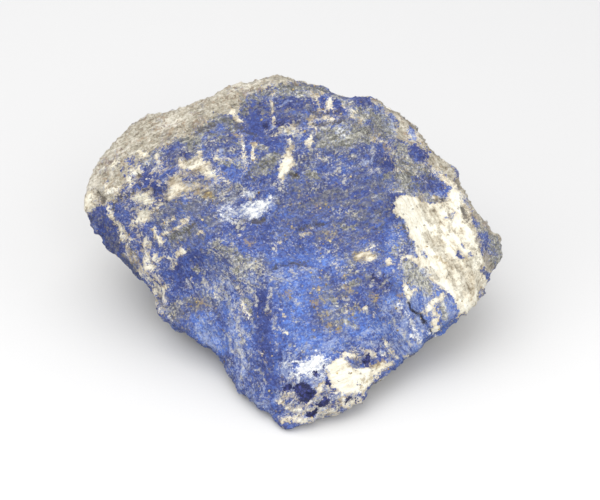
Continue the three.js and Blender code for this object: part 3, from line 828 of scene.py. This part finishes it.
slow = noise_at(points, 34, 3.1)
patches = noise_at(points, 17, 7.7)
small = noise_at(points, 7, 1.3)
mixed = noise_at(points, 11, 9.4)
vein = np.abs(noise_at(points + wander(points, 16, 9), VEIN_APART, 5.2)) * VEIN_APART
band_across = np.cross(BAND_ALONG, BAND_INWARD)
band_across /= np.linalg.norm(band_across)
band_middle = np.array(LOOK_AT) / MM
for part, direction in zip(BAND_AT, (board_right, board_up)):
    band_middle += part * np.array(direction)
from_band = points - band_middle
band = BAND_HALF - np.abs(from_band @ band_across)
band -= BAND_TAPER * np.clip(from_band @ BAND_INWARD, 0, None)
print("points in the hidden part of the band:", int(((band > 0) & (seen < 0.5)).sum()))

# %% [markdown]
# From those noises come the minerals of the hidden sides, again as distances in millimetres, and
# the washes, which are held between 0 and 1 when they are stored. Rind lies thick over the back
# and fades out underneath.

# %% Minerals of the hidden sides
nowhere = np.full(count, -9.0)
rind = 12 * (normals @ BACKWARDS - 0.3) + 12 * patches + 8 * slow + 3 * small
through_band = band + 4.5 * patches + 2.5 * small - 1
thin_veins = 0.9 + 1.5 * patches - vein
lone_nests = 6 * slow + 3 * small - 3.2
hidden_minerals = {
    "rind": rind,
    "cream": np.maximum(through_band, np.maximum(thin_veins, lone_nests)),
    "grey": np.maximum(9 * slow + 3 * small - 2.5, 2.5 - np.abs(rind + 2) + 5 * mixed),
    "frost_and_highlight": 5 * slow + 2 * small - 3.2,
    "thread": 2 * small - 2,
    "streak": np.where(band > 0, 3 * small - 1.2, nowhere),
    "rust": 6 * small - 5.6,
    "indigo": nowhere, "crease": nowhere, "crack": nowhere,
}
hidden_washes = {
    "dull": 0.5 + slow,
    "bright": 0.2 - 1.6 * mixed,
    "deep": 1.8 * mixed,
    "pale": 0.8 * small - slow - 0.1,
    "golden": patches + mixed,
    "sandy": 0.25 + 0.8 * slow + 0.6 * mixed,
    "mottled": 0.5 + 1.2 * slow - mixed,
    "chalky": patches - 0.2,
    "steep": nowhere,
}
print("hidden:", len(hidden_minerals), "minerals and", len(hidden_washes), "washes")

# %% [markdown]
# Front and hidden sides are joined by how well the eye sees each point, and each map is stored on
# the mesh as an attribute of its points, which both Geometry Nodes and a material can read.

# %% Store the map on the mesh
REACH = 9  # mm, beyond which a distance says nothing new


def drawn(kind):
    """Distance inside everything that was drawn of one kind."""
    strokes, outlines = STROKES.get(kind, []), OUTLINES.get(kind, [])
    return np.maximum(to_strokes(sheet, strokes), to_outlines(sheet, outlines))


def joined(front, hidden, low, high):
    """What is seen from the front and what is hidden, each held between two values, as one map."""
    return seen * np.clip(front, low, high) + (1 - seen) * np.clip(hidden, low, high)


fields = {kind: to_washes(sheet, WASHES[kind]) for kind in ("worn", "proud")}
for kind, hidden in hidden_washes.items():
    fields[kind] = joined(to_washes(sheet, WASHES[kind]), hidden, 0, 1)
islands = drawn("blue")
for kind, hidden in hidden_minerals.items():
    front = drawn(kind)
    if kind not in ("crack", "crease"):
        front = np.minimum(front, -islands)
    fields[kind] = joined(front, hidden, -REACH, REACH)
for kind, values in fields.items():
    layer = stone.data.attributes.new(kind, "FLOAT", "POINT")
    layer.data.foreach_set("value", values.astype(np.float32))
print("fields:", {kind: round(float((values > 0.5).mean()), 3) for kind, values in fields.items()})

# %% [markdown]
# ## Broken skin
# A fresh break shows shallow chips with sharp ridges between them, then crags, then single grains.
# The rind is pitted, the dark crystals sit a little low, and the crack is a real groove. Sculpting
# could do it once. Geometry Nodes do it by rule, and read the same map as the colours. The tree
# has a named input for each size, in millimetres.

# %% Relief tree: sizes and map
RELIEF = {"Chip size": 8.5, "Chip depth": 0.85, "Ledge size": 6.0, "Ledge depth": 1.05,
          "Crag size": 4.0, "Crag depth": 0.7, "Grain size": 1.6, "Grain depth": 0.45,
          "Pit depth": 0.8, "Crack depth": 1.5}


def new_tree(name, sizes):
    """A Geometry Nodes tree with a mesh going in and out, and named sizes as inputs."""
    tree = bpy.data.node_groups.new(name, "GeometryNodeTree")
    tree.interface.new_socket("Geometry", in_out="INPUT", socket_type="NodeSocketGeometry")
    tree.interface.new_socket("Geometry", in_out="OUTPUT", socket_type="NodeSocketGeometry")
    for size, value in sizes.items():
        kind = "NodeSocketInt" if isinstance(value, int) else "NodeSocketFloat"
        tree.interface.new_socket(size, in_out="INPUT", socket_type=kind).default_value = value
    return tree, node(tree, "NodeGroupInput").outputs, node(tree, "NodeGroupOutput").inputs


def field(tree, name):
    """One map of the mesh, read in a Geometry Nodes tree."""
    kind = "GeometryNodeInputNamedAttribute"
    return node(tree, kind, {"Name": name}, data_type="FLOAT").outputs[0]


def total(*parts, base=0.0):
    """A base plus a weighted sum of (value, weight) pairs."""
    for value, weight in parts:
        base = calc("MULTIPLY_ADD", value, weight, base)
    return base


relief, given, out = new_tree("broken skin", RELIEF)
where = scaled(node(relief, "GeometryNodeInputPosition").outputs[0], 1 / MM)
on_rind, on_cream = (blend(field(relief, kind), -0.5, 0.8) for kind in ("rind", "cream"))
freshly_broken = calc("SUBTRACT", 1.0, product(calc("MAXIMUM", on_rind, on_cream), 0.6))
rough = total((field(relief, "mottled"), 0.7), base=0.55)
print("relief inputs:", [name for name in given.keys() if name])

# %% [markdown]
# The rock has a grain, and it breaks along it in flat treads with steep risers between them. That
# is a noise drawn out along the grain and cut into steps. The grain shows in two directions on
# the face, and the steep wash says where each one rules.

# %% Relief tree: ledges
RELIEF_DRAWN_OUT, STEPS = 3.0, 2.5


def on_the_view(degrees):
    """A direction in the plane of the view, turned up from the right by some degrees."""
    turn = math.radians(degrees)
    return tuple(board_right * math.cos(turn) + board_up * math.sin(turn))


def stretched(where, direction, times):
    """Coordinates squeezed along a direction, so that a noise read there is drawn out along it."""
    dot = after("ShaderNodeVectorMath", {0: where, 1: direction}, operation="DOT_PRODUCT")
    excess = scaled(direction, product(dot.outputs["Value"], 1 - 1 / times))
    return after("ShaderNodeVectorMath", {0: where, 1: excess}, operation="SUBTRACT").outputs[0]


def lumps(where, size, detail, roughness=0.55):
    """Centred noise from about -1 to 1, with features of a size that is a socket."""
    waves = after("ShaderNodeTexNoise", {"Vector": where, "Scale": calc("DIVIDE", 1.0, size),
                  "Detail": detail, "Roughness": roughness}).outputs[0]
    return blend(waves, 0.25, 0.75, -1.0, 1.0)


def ledges(direction):
    """Noise cut into steps, from about -1 to 1, drawn out along a direction."""
    drawn_out = stretched(where, direction, RELIEF_DRAWN_OUT)
    climb = product(lumps(drawn_out, given["Ledge size"], 3.0), STEPS)
    tread = calc("FLOOR", climb)
    riser = blend(calc("SUBTRACT", climb, tread), 0.35, 0.65)
    return calc("DIVIDE", calc("ADD", tread, riser), STEPS)


GRAIN_LEVEL, GRAIN_STEEP = on_the_view(24), on_the_view(-58)
both_ways = {2: ledges(GRAIN_LEVEL), 3: ledges(GRAIN_STEEP)}
ledge = after("ShaderNodeMix", {0: field(relief, "steep"), **both_ways})
print("grain directions:", [[round(part, 2) for part in way] for way in (GRAIN_LEVEL, GRAIN_STEEP)])

# %% [markdown]
# All the forms are now added up as one height, with a weight for each, and every point is pushed
# along its normal by it. The flat underside is left alone. The height is kept on the mesh, so that
# the material can paint shade into the low places.

# %% Relief tree: the sum
CHIP_LEVEL, PIT_LEVEL, PIT_SIZE = 0.42, 0.35, 2.6
SUNK = {"indigo": (-0.4, 0.8, -0.45), "streak": (-0.8, 0.8, -0.55), "crease": (-0.9, 0.5, -0.8)}
CALCITE_STANDS, RUBBED_BACK, STANDS_OUT = 0.3, -2.0, 3.0  # mm
STILL_BELOW, FREE_ABOVE = 0.3, 4.0  # mm over the table


def voronoi(where, scale, feature="F1", **settings):
    """The outputs of a Voronoi texture."""
    reads = {"Vector": where, "Scale": scale, **settings}
    return after("ShaderNodeTexVoronoi", reads, feature=feature).outputs


chip = voronoi(where, calc("DIVIDE", 1.0, given["Chip size"]))["Distance"]
pit = voronoi(where, 1 / PIT_SIZE, "SMOOTH_F1", Detail=1.0)["Distance"]
height = total(
    (product(calc("SUBTRACT", chip, CHIP_LEVEL), freshly_broken, given["Chip depth"]), 2.0),
    (product(ledge.outputs[0], rough), given["Ledge depth"]),
    (product(lumps(where, given["Crag size"], 4.0, 0.65), rough), given["Crag depth"]),
    (lumps(where, given["Grain size"], 2.0), given["Grain depth"]),
    (product(calc("SUBTRACT", PIT_LEVEL, pit), on_rind, given["Pit depth"]), -2.0),
    (on_cream, CALCITE_STANDS),
    *((blend(field(relief, kind), low, high), sunk) for kind, (low, high, sunk) in SUNK.items()),
    (field(relief, "worn"), RUBBED_BACK),
    (field(relief, "proud"), STANDS_OUT),
    (blend(field(relief, "crack"), -0.7, 0.5, 0.0, -1.0), given["Crack depth"]),
)
height = product(height, blend(axis(where, "Z"), STILL_BELOW, FREE_ABOVE))
kept = after("GeometryNodeStoreNamedAttribute", {"Geometry": given["Geometry"], "Name": "height",
             "Value": height}, data_type="FLOAT", domain="POINT")
push = scaled(node(relief, "GeometryNodeInputNormal").outputs[0], product(height, MM))
moved = after("GeometryNodeSetPosition", {"Geometry": kept.outputs[0], "Offset": push})
feed(out["Geometry"], moved.outputs[0])
print("relief tree:", len(relief.nodes), "nodes")

# %% [markdown]
# The tree goes on as a modifier, and the result is turned into a plain mesh. Then every point is
# held inside the CAD solid's box, so the looks never change the size.

# %% Apply the relief
def geometry_nodes(holder, tree, sizes):
    """Puts a tree on an object. Its inputs are set by identifier before it is evaluated."""
    modifier = holder.modifiers.new(tree.name, "NODES")
    modifier.node_group = tree
    for item in tree.interface.items_tree:
        if item.name in sizes:
            modifier[item.identifier] = sizes[item.name]


def keep_inside(mesh):
    """Holds every point of a mesh inside the CAD solid's box."""
    flat = np.empty(len(mesh.vertices) * 3)
    mesh.vertices.foreach_get("co", flat)
    low, high = np.array(CAD_BOX)
    mesh.vertices.foreach_set("co", np.clip(flat.reshape(-1, 3), low, high).ravel())
    mesh.update()


geometry_nodes(stone, relief, RELIEF)
stone.data = baked(stone, "lapis_stone")
keep_inside(stone.data)
stone.data.shade_smooth()
print("stone:", sum(len(f.vertices) - 2 for f in stone.data.polygons), "triangles")

# %% [markdown]
# ## Stone material
# One material covers the block. It is layered as the rock is: blue ground, grey rock, rind,
# calcite, then the small dark things. A texture painted on the block would need unwrapping and
# would smear on its steep sides. Here every colour is worked out from its place in the rock.
#
# Two effects are node groups, with named inputs. The first is a mineral's ragged edge: its
# distance is shaken by noise and then sharpened to a mask.

# %% Group: ragged edge
def new_group(name, inputs, outputs):
    """A shader node group. An input is a number, or a vector if it has no value to start from."""
    group = bpy.data.node_groups.new(name, "ShaderNodeTree")
    for label, value in inputs.items():
        kind = "NodeSocketVector" if value is None else "NodeSocketFloat"
        socket = group.interface.new_socket(label, in_out="INPUT", socket_type=kind)
        if value is not None:
            socket.default_value = value
    for label in outputs:
        group.interface.new_socket(label, in_out="OUTPUT", socket_type="NodeSocketFloat")
    return group, node(group, "NodeGroupInput").outputs, node(group, "NodeGroupOutput").inputs


def moved_by(where, offset):
    """Coordinates with an offset, a number or a vector, added."""
    offset = (offset, offset, offset) if isinstance(offset, float) else offset
    return after("ShaderNodeVectorMath", {0: where, 1: offset}, operation="ADD").outputs[0]


ragged, given, out = new_group("ragged edge", {
    "Where": None, "Field": 0.0, "Raggedness": 1.0, "Softness": 0.25, "Seed": 0.0}, ["Mask"])
place = moved_by(given["Where"], given["Seed"])
wide = calc("SUBTRACT", speckle(place, 3.4, 6.0, 0.72, 0.4), 0.5)
tight = calc("SUBTRACT", speckle(place, 1.0, 2.0, 0.6), 0.5)
shaken = total((total((tight, 4.0), (wide, 7.0)), given["Raggedness"]), base=given["Field"])
feed(out["Mask"], blend(shaken, product(given["Softness"], -1.0), given["Softness"]))
print("group:", ragged.name, "with", len(ragged.nodes), "nodes")

# %% [markdown]
# The second group is the play of single crystal grains: cells of a Voronoi texture, each with a
# tone, a kind and a raised middle of its own. The stone and the pyrite both use it. Its
# coordinates are bent by a noise, so the cells don't meet in straight lines.

# %% Group: crystal grains
def bent(where, scale, reach, **settings):
    """Coordinates pushed about by a noise, so that what is read there has no straight lines."""
    bend = after("ShaderNodeTexNoise", {"Vector": where, "Scale": scale, **settings})
    return moved_by(where, scaled(bend.outputs["Color"], reach))


grains, given, out = new_group("crystal grains", {
    "Where": None, "Grain size": 1.0}, ["Tone", "Kind", "Height"])
pitch = calc("DIVIDE", 1.0, given["Grain size"])
cells = voronoi(bent(given["Where"], product(pitch, 0.7), given["Grain size"]), pitch)
lots = after("ShaderNodeSeparateColor", {0: cells["Color"]}).outputs
feed(out["Tone"], lots[0])
feed(out["Kind"], lots[1])
feed(out["Height"], total((lots[0], 0.5), base=calc("SUBTRACT", 1.0, cells["Distance"])))
print("group:", grains.name, "with", len(grains.nodes), "nodes")

# %% [markdown]
# The material starts with what its layers share: the map, the grains, and noises of several
# sizes. Those called flow and cluster_a run along the grain of the rock. No wash lies evenly, so
# four of them are broken up here.

# %% What the layers share
COLOUR_DRAWN_OUT = 4.0
lapis, surface, where = new_material("lapis")
tree = lapis.node_tree


def stored(name):
    """One map of the mesh, read in the material."""
    return node(tree, "ShaderNodeAttribute", attribute_name=name).outputs["Fac"]


def crystals(where, size):
    """The outputs of the grain group at one grain size."""
    return after("ShaderNodeGroup", {"Where": where, "Grain size": size}, node_tree=grains).outputs


wash = {name: stored(name) for name in hidden_washes}
coarse, tiny = crystals(where, 1.15), crystals(where, 0.7)
ways = {4: stretched(where, GRAIN_LEVEL, COLOUR_DRAWN_OUT),
        5: stretched(where, GRAIN_STEEP, COLOUR_DRAWN_OUT)}
along = after("ShaderNodeMix", {0: wash["steep"], **ways}, data_type="VECTOR").outputs[1]
blotch = speckle(where, 9.0, 5.0, 0.62, 0.3)
broad = speckle(where, 6.0, 4.0, 0.62, 0.6)
fine = speckle(where, 0.8, 2.0, 0.6)
grit = speckle(where, 1.3, 5.0, 0.72)
flow = speckle(along, 1.5, 5.0, 0.7, 0.5)
cluster_a = speckle(along, 2.4, 4.0, 0.62, 0.5)
cluster_b = speckle(moved_by(where, 31.0), 3.5, 4.0, 0.65, 0.5)
cluster_c = speckle(moved_by(where, 57.0), 2.6, 3.0, 0.6, 0.8)
for name in ("dull", "pale", "golden", "sandy"):
    uneven = speckle(moved_by(along, 9.0 * len(name)), 4.0, 4.0, 0.6)
    wash[name] = product(wash[name], blend(uneven, 0.38, 0.62, 0.25, 1.25))
clear = total((wash["pale"], 1.0), (wash["deep"], -0.6))
print("shared so far:", len(tree.nodes), "nodes")

# %% [markdown]
# The blue ground is lazurite. Each colour in it is a ramp read by a sum of noises, so two noises
# of different sizes decide every speck, and the washes shift the sum from place to place.

# %% Blue ground
BLUES = [(0.20, (0.020, 0.027, 0.11)), (0.40, (0.038, 0.055, 0.20)), (0.56, (0.058, 0.102, 0.33)),
         (0.72, (0.094, 0.184, 0.53)), (0.90, (0.17, 0.31, 0.67))]


def ramp(value, stops):
    """A colour ramp through (place, colour) stops."""
    made = after("ShaderNodeValToRGB", {0: value})
    elements = made.color_ramp.elements
    while len(elements) < len(stops):
        elements.new(0.5)
    for element, (place, colour) in zip(elements, stops):
        element.position = place
        element.color = (*colour, 1)
    return made.outputs[0]


tone = total((blotch, 0.42), (coarse["Tone"], 0.10), (tiny["Tone"], 0.25), (flow, 0.36),
             (wash["bright"], 0.16), (wash["deep"], -0.11), base=-0.085)
blue = ramp(tone, BLUES)
print("blue ramp:", len(BLUES), "stops")

# %% [markdown]
# Single strange grains lie in the blue: olive ones and a veil of their dust, pale ones, and tan
# ones round the pyrite. A grain is picked when its lot, plus a cluster noise and a wash, passes a
# level, so picked grains gather in drifts instead of lying evenly.

# %% Strange grains in the blue
OLIVES = [(0.38, (0.075, 0.073, 0.065)), (0.50, (0.155, 0.15, 0.125)), (0.64, (0.30, 0.285, 0.22))]
DUSTS = [(0.35, (0.20, 0.23, 0.33)), (0.65, (0.50, 0.53, 0.60))]
TAN = (0.31, 0.25, 0.125)
CLUSTERING = 1.8


def picked(lot, cluster, wash, level, swing, softness):
    """Picks single grains by lot, more of them in clusters and where a wash is strong."""
    value = total((lot, 1.0), (cluster, CLUSTERING), (wash, swing))
    level += CLUSTERING / 2  # a noise is 0.5 on average, so this is what the cluster adds
    return blend(value, level - softness, level + softness)


olive = ramp(grit, OLIVES)
powder = speckle(moved_by(along, 71.0), 1.1, 4.0, 0.75)
veil = total((cluster_b, 0.35), (powder, 0.75), (wash["dull"], 0.15), (wash["golden"], 0.17),
             (wash["sandy"], 0.06), (wash["deep"], -0.12), base=-0.05)
blue = over(blue, olive, blend(veil, 0.47, 0.73), 0.50)
blue = over(blue, olive, picked(coarse["Tone"], cluster_b, wash["dull"], 0.98, 0.42, 0.22), 0.46)
blue = over(blue, ramp(fine, DUSTS), picked(tiny["Kind"], cluster_a, clear, 0.98, 0.62, 0.26), 0.54)
blue = over(blue, TAN, picked(tiny["Tone"], cluster_c, wash["golden"], 1.12, 0.46, 0.14), 0.75)
print("with strange grains:", len(tree.nodes), "nodes")

# %% [markdown]
# Calcite too fine to see as grains makes a haze over the blue, then sandy grains and white
# threads run along the grain of the rock. Here the mask of a mineral's edge is needed first.

# %% Haze, sand and threads
HAZES = [(0.35, (0.10, 0.15, 0.40)), (0.55, (0.28, 0.35, 0.56)), (0.70, (0.60, 0.63, 0.68))]
SANDS = [(0.36, (0.20, 0.19, 0.14)), (0.52, (0.46, 0.43, 0.33)), (0.64, (0.72, 0.69, 0.58))]
THREAD = (0.52, 0.50, 0.43)


def edge(name, raggedness, softness, seed=0.0, grow=0.0):
    """The mask of one mineral, with its ragged edge, grown by some millimetres."""
    reads = {"Where": where, "Field": calc("ADD", stored(name), grow), "Raggedness": raggedness,
             "Softness": softness, "Seed": seed}
    return after("ShaderNodeGroup", reads, node_tree=ragged).outputs["Mask"]


haze = ramp(total((grit, 0.7), (fine, 0.4), base=-0.05), HAZES)
blue = over(blue, haze, blend(total((flow, 1.0), (wash["pale"], 0.20)), 0.58, 0.82), 0.62)
blue = over(blue, haze, blend(wash["pale"], 0.35, 1.25), 0.42)
sandy = total((wash["sandy"], 1.0), (wash["deep"], -0.35))
blue = over(blue, ramp(grit, SANDS), picked(tiny["Tone"], cluster_b, sandy, 1.14, 0.68, 0.26), 0.74)
threads = total((flow, 1.0), (wash["mottled"], 0.10), (clear, 0.06), (wash["dull"], 0.04))
drawn_threads = edge("thread", 0.7, 0.6, seed=29.0, grow=0.25)
drawn_threads = product(drawn_threads, blend(grit, 0.42, 0.56, 0.2, 1.3))
blue = over(blue, THREAD, calc("MAXIMUM", blend(threads, 0.65, 0.75), drawn_threads), 0.6)
print("blue ground done:", len(tree.nodes), "nodes")

# %% [markdown]
# Grey rock keeps some blue in it. The rind over it is clay brown where iron has stained it, and
# its streaks run with the grain, so its ramp reads the flow noise most.

# %% Grey rock and rind
GREYS = [(0.30, (0.075, 0.073, 0.058)), (0.44, (0.19, 0.185, 0.145)), (0.56, (0.33, 0.32, 0.26)),
         (0.70, (0.66, 0.64, 0.54))]
RINDS = [(0.24, (0.075, 0.062, 0.045)), (0.38, (0.22, 0.195, 0.145)), (0.52, (0.38, 0.345, 0.27)),
         (0.72, (0.62, 0.58, 0.49))]
CLAY = (0.34, 0.235, 0.145)

grey = ramp(total((grit, 1.0), (flow, 0.9), (fine, 0.3), (wash["pale"], 0.10),
                  (wash["dull"], -0.12), base=-0.59), GREYS)
grey = over(grey, blue, blend(total((cluster_b, 0.8), (fine, 0.5)), 0.65, 0.72), 0.7)
colour = over(blue, grey, edge("grey", 1.5, 0.6, seed=11.0), 0.9)
weathered = total((grit, 0.6), (flow, 0.85), (broad, 0.4), (tiny["Tone"], 0.10),
                  (wash["pale"], 0.14), (wash["dull"], -0.06), base=-0.465)
stained = blend(total((cluster_c, 0.7), (blotch, 0.5)), 0.60, 0.76)
brown = over(ramp(weathered, RINDS), CLAY, stained, 0.7)
brown = over(brown, grey, blend(blotch, 0.50, 0.62), 0.4)
colour = over(colour, brown, edge("rind", 1.3, 0.3, seed=23.0))
print("with grey rock and rind:", len(tree.nodes), "nodes")

# %% [markdown]
# Calcite is tan where it is thin and white where it is thick, so its ramp also reads the distance
# to its edge. A pale fringe lies round each patch, and in mottled ground blue shows through holes.

# %% Calcite patches
CHALKS = [(0.28, (0.20, 0.16, 0.10)), (0.38, (0.42, 0.355, 0.25)), (0.48, (0.66, 0.60, 0.47)),
          (0.58, (0.80, 0.765, 0.635)), (0.70, (0.87, 0.85, 0.76))]
FRINGE = (0.30, 0.32, 0.38)

thick = blend(stored("cream"), -1.0, 2.5, -0.07, 0.07)
drift = speckle(moved_by(along, 17.0), 3.0, 4.0, 0.6)
chalk = ramp(total((drift, 0.6), (grit, 0.35), (flow, 0.4), (thick, 1.0), (wash["dull"], -0.12),
                   (wash["bright"], 0.02), base=-0.175), CHALKS)
fringe = over(FRINGE, chalk, blend(grit, 0.45, 0.6))
colour = over(colour, fringe, edge("cream", 1.6, 0.4, seed=5.0, grow=-0.2), 0.7)
loose = total((wash["mottled"], 1.3), base=0.85)  # how far the calcite breaks up at its edge
holes = blend(speckle(moved_by(where, 83.0), 1.3, 4.0, 0.7), 0.50, 0.60, 0.0, wash["mottled"])
holes = product(holes, blend(stored("cream"), 0.6, 2.6, 0.8, 0.0))
colour = over(colour, chalk, product(edge("cream", loose, 0.25), calc("SUBTRACT", 1.0, holes)))
print("with calcite patches:", len(tree.nodes), "nodes")

# %% [markdown]
# Between the patches calcite also runs as a net of hair veins, which are the edges of bent
# Voronoi cells, and gathers in small nests where two noises are high at once.

# %% Calcite net and nests
NET_SIZE, BEND_SIZE, BEND_REACH = 6.5, 3.0, 5.0

cell_edges = voronoi(bent(where, 1 / BEND_SIZE, BEND_REACH, Detail=3.0), 1 / NET_SIZE,
                     "DISTANCE_TO_EDGE")["Distance"]
net = total((cell_edges, -1.0), (wash["mottled"], 0.07), (cluster_b, 0.16), (grit, 0.1))
colour = over(colour, chalk, blend(net, 0.13, 0.18), 0.52)
nests = total((broad, 1.0), (cluster_a, 0.8), (grit, 0.35), (wash["mottled"], 0.15),
              (wash["chalky"], 0.13))
colour = over(colour, chalk, blend(nests, 1.31, 1.40), 0.75)
print("with net and nests:", len(tree.nodes), "nodes")

# %% [markdown]
# Grey-brown streaks cross the calcite, and frost, which is crushed white, lies over the blue. Part
# of the frost is a painted highlight. Both come after the calcite, because they lie on it as well.

# %% Streaks and frost
TAUPES = [(0.34, (0.14, 0.115, 0.075)), (0.47, (0.33, 0.29, 0.215)), (0.60, (0.60, 0.55, 0.44))]
FROST_AND_HIGHLIGHT_TONES = [(0.34, (0.16, 0.20, 0.36)), (0.46, (0.56, 0.57, 0.58)), (0.58, (0.86, 0.855, 0.81))]

taupe = ramp(total((flow, 0.8), (grit, 0.4), base=-0.1), TAUPES)
colour = over(colour, taupe, edge("streak", 1.0, 0.6, seed=41.0, grow=0.3), 0.75)
frost_and_highlight = ramp(total((grit, 0.8), (flow, 0.7), (wash["bright"], 0.10), base=-0.32), FROST_AND_HIGHLIGHT_TONES)
colour = over(colour, frost_and_highlight, edge("frost_and_highlight", 1.5, 0.6, seed=13.0, grow=0.2), 0.92)
print("with streaks and frost:", len(tree.nodes), "nodes")

# %% [markdown]
# Small things come last. Pores open in the rind and the calcite, painted shade darkens the low
# places of the relief, high ones are crushed pale, rust stains the blue, painted shadow lies in the
# creases, and the indigo crystals and the crack, painted dark as a shadowed groove, lie over
# everything. They are laid in a loop, in that order.

# %% Small things on top
INDIGOS = [(0.15, (0.006, 0.007, 0.030)), (0.60, (0.018, 0.022, 0.090)),
           (0.90, (0.050, 0.062, 0.25))]

pore = total((coarse["Kind"], 1.0), (cluster_c, 1.2), (blend(stored("cream"), -0.5, 1.0), 0.06),
             (blend(stored("rind"), -0.5, 1.0), 0.12))
crushed = product(blend(stored("height"), 0.8, 2.2), blend(grit, 0.45, 0.6, 0.0, 0.35))
indigo = ramp(total((coarse["Tone"], 0.5), (tiny["Tone"], 0.3), (flow, 0.3)), INDIGOS)
crystal = edge("indigo", 0.8, 0.12, seed=3.0)
for tint, mask, share in [
        ((0.13, 0.095, 0.06), blend(pore, 1.66, 1.70), 0.6),
        # painted shade: the low places of the relief are darkened to a near-black blue
        ((0.03, 0.03, 0.05), blend(stored("height"), -2.2, -0.2, 0.45, 0.0), 1.0),
        ((0.46, 0.48, 0.54), crushed, 1.0),
        ((0.34, 0.25, 0.12), edge("rust", 1.3, 0.7, seed=17.0), 0.65),
        # painted shadow along the creases and under the ledges
        ((0.07, 0.062, 0.06), edge("crease", 0.9, 0.4, seed=7.0), 0.75),
        (indigo, crystal, 1.0),
        # painted shadow: the crack's groove is coloured dark
        ((0.034, 0.036, 0.062), edge("crack", 0.7, 0.4), 1.0)]:
    colour = over(colour, tint, mask, share)
feed(surface["Base Color"], colour)
print("all colours:", len(tree.nodes), "nodes")

# %% [markdown]
# Lapis is dull on a break, with a glint where a crystal lies flat. The finest relief, under the
# size of a face of the skin, is a bump.

# %% Surface of the stone
glint = blend(coarse["Kind"], 0.86, 0.90, 0.0, -0.35)
feed(surface["Roughness"], total((fine, 0.2), (crystal, -0.25), (glint, 1.0), base=0.62))
surface["Specular IOR Level"].default_value = 0.35
bumps = total((coarse["Height"], 0.16), (tiny["Height"], 0.08), (grit, 0.9), (flow, 0.9))
bump = after("ShaderNodeBump", {"Strength": 0.9, "Distance": MM, "Height": bumps})
feed(surface["Normal"], bump.outputs[0])
stone.data.materials.clear()
stone.data.materials.append(lapis)
print("lapis material:", len(tree.nodes), "nodes")

# %% [markdown]
# ## Pyrite grains
# Pyrite grows as little cubes, and it is what makes lapis glint. It is a tarnished metal: the
# grain group gives each cube a tone, from brown to brass.

# %% Pyrite material
TARNISH = [(0.1, (0.20, 0.14, 0.07)), (0.6, (0.42, 0.32, 0.15)), (1.0, (0.62, 0.52, 0.30))]

pyrite, metal, spot = new_material("pyrite")
lot = crystals(spot, 1.8)["Tone"]
feed(metal["Base Color"], ramp(lot, TARNISH))
feed(metal["Roughness"], total((lot, -0.2), base=0.55))
metal["Metallic"].default_value = 0.8
pitting = {"Strength": 0.4, "Distance": 0.1 * MM, "Height": speckle(spot, 0.4)}
feed(metal["Normal"], after("ShaderNodeBump", pitting).outputs[0])
print("pyrite material:", len(pyrite.node_tree.nodes), "nodes")

# %% [markdown]
# Every grain is a copy of one cube with its edges bevelled off, so that they catch the light. It
# is one unit across, and each copy gets its own size.

# %% One cube
CUBE_BEVEL = 0.14

cube_mesh = bpy.data.meshes.new("pyrite_cube")
cutter = bmesh.new()
bmesh.ops.create_cube(cutter, size=1.0)
bmesh.ops.bevel(cutter, geom=list(cutter.edges), offset=CUBE_BEVEL, segments=1, affect="EDGES")
cutter.to_mesh(cube_mesh)
cutter.free()
cube = bpy.data.objects.new("pyrite_cube", cube_mesh)
print("cube:", len(cube_mesh.polygons), "faces")

# %% [markdown]
# The cubes are up to a millimetre across and half buried. They could be placed by a particle
# system. Geometry Nodes scatter them here, most thickly where the golden wash lies, and then make
# the copies real, because copies that are only instances don't leave Blender with the model.

# %% Pyrite scatter tree
PYRITE = {"Grains per square centimetre": 1.6, "Smallest": 0.4, "Largest": 1.0,
          "Buried": 0.12, "Seed": 7}
PER_SQUARE_METRE, FULL_TURN = 10000.0, 6.28

scatter, given, out = new_tree("pyrite scatter", PYRITE)
seed, mesh = given["Seed"], given["Geometry"]
golden = blend(field(scatter, "golden"), 0.05, 0.8, 0.12, 2.4)
bare = blend(field(scatter, "rind"), -1.0, 1.0, 1.0, 0.2)
off_table = blend(axis(node(scatter, "GeometryNodeInputPosition").outputs[0], "Z"), 1 * MM, 3 * MM)
most = product(given["Grains per square centimetre"], PER_SQUARE_METRE)
density = product(golden, bare, off_table, most)
spread = after("GeometryNodeDistributePointsOnFaces", {
    "Mesh": mesh, "Density": density, "Seed": seed}).outputs
turned = after("FunctionNodeRandomValue", {
    0: (0, 0, 0), 1: (FULL_TURN,) * 3, "Seed": seed}, data_type="FLOAT_VECTOR").outputs[0]
across = after("FunctionNodeRandomValue", {
    2: given["Smallest"], 3: given["Largest"], "Seed": seed}, data_type="FLOAT").outputs[1]
source = node(scatter, "GeometryNodeObjectInfo", {"Object": cube}).outputs["Geometry"]
copies = after("GeometryNodeInstanceOnPoints", {
    "Points": spread["Points"], "Instance": source, "Rotation": turned,
    "Scale": product(across, MM)})
sunk = scaled(spread["Normal"], product(given["Buried"], -MM))
lowered = after("GeometryNodeTranslateInstances", {
    "Instances": copies.outputs[0], "Translation": sunk, "Local Space": False})
realized = after("GeometryNodeRealizeInstances", {"Geometry": lowered.outputs[0]})
finished = after("GeometryNodeSetMaterial", {"Geometry": realized.outputs[0], "Material": pyrite})
feed(out["Geometry"], finished.outputs[0])
print("scatter tree:", len(scatter.nodes), "nodes")

# %% [markdown]
# The tree is put on a copy of the stone's mesh and leaves only the cubes, as a piece of their own.

# %% Pyrite grains
specks = show("pyrite_grains", stone.data.copy())
geometry_nodes(specks, scatter, PYRITE)
specks.data = baked(specks, "pyrite_grains")
keep_inside(specks.data)
faces = len(specks.data.polygons)
print("pyrite:", faces // len(cube_mesh.polygons), "grains,", faces, "faces")

# %% [markdown]
# ## Hand over
# The dressed stone stands for the CAD node. Both pieces ride on the only body.

# %% Hand over
for piece in (stone, specks):
    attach(piece, "root")
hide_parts(BLOCK)
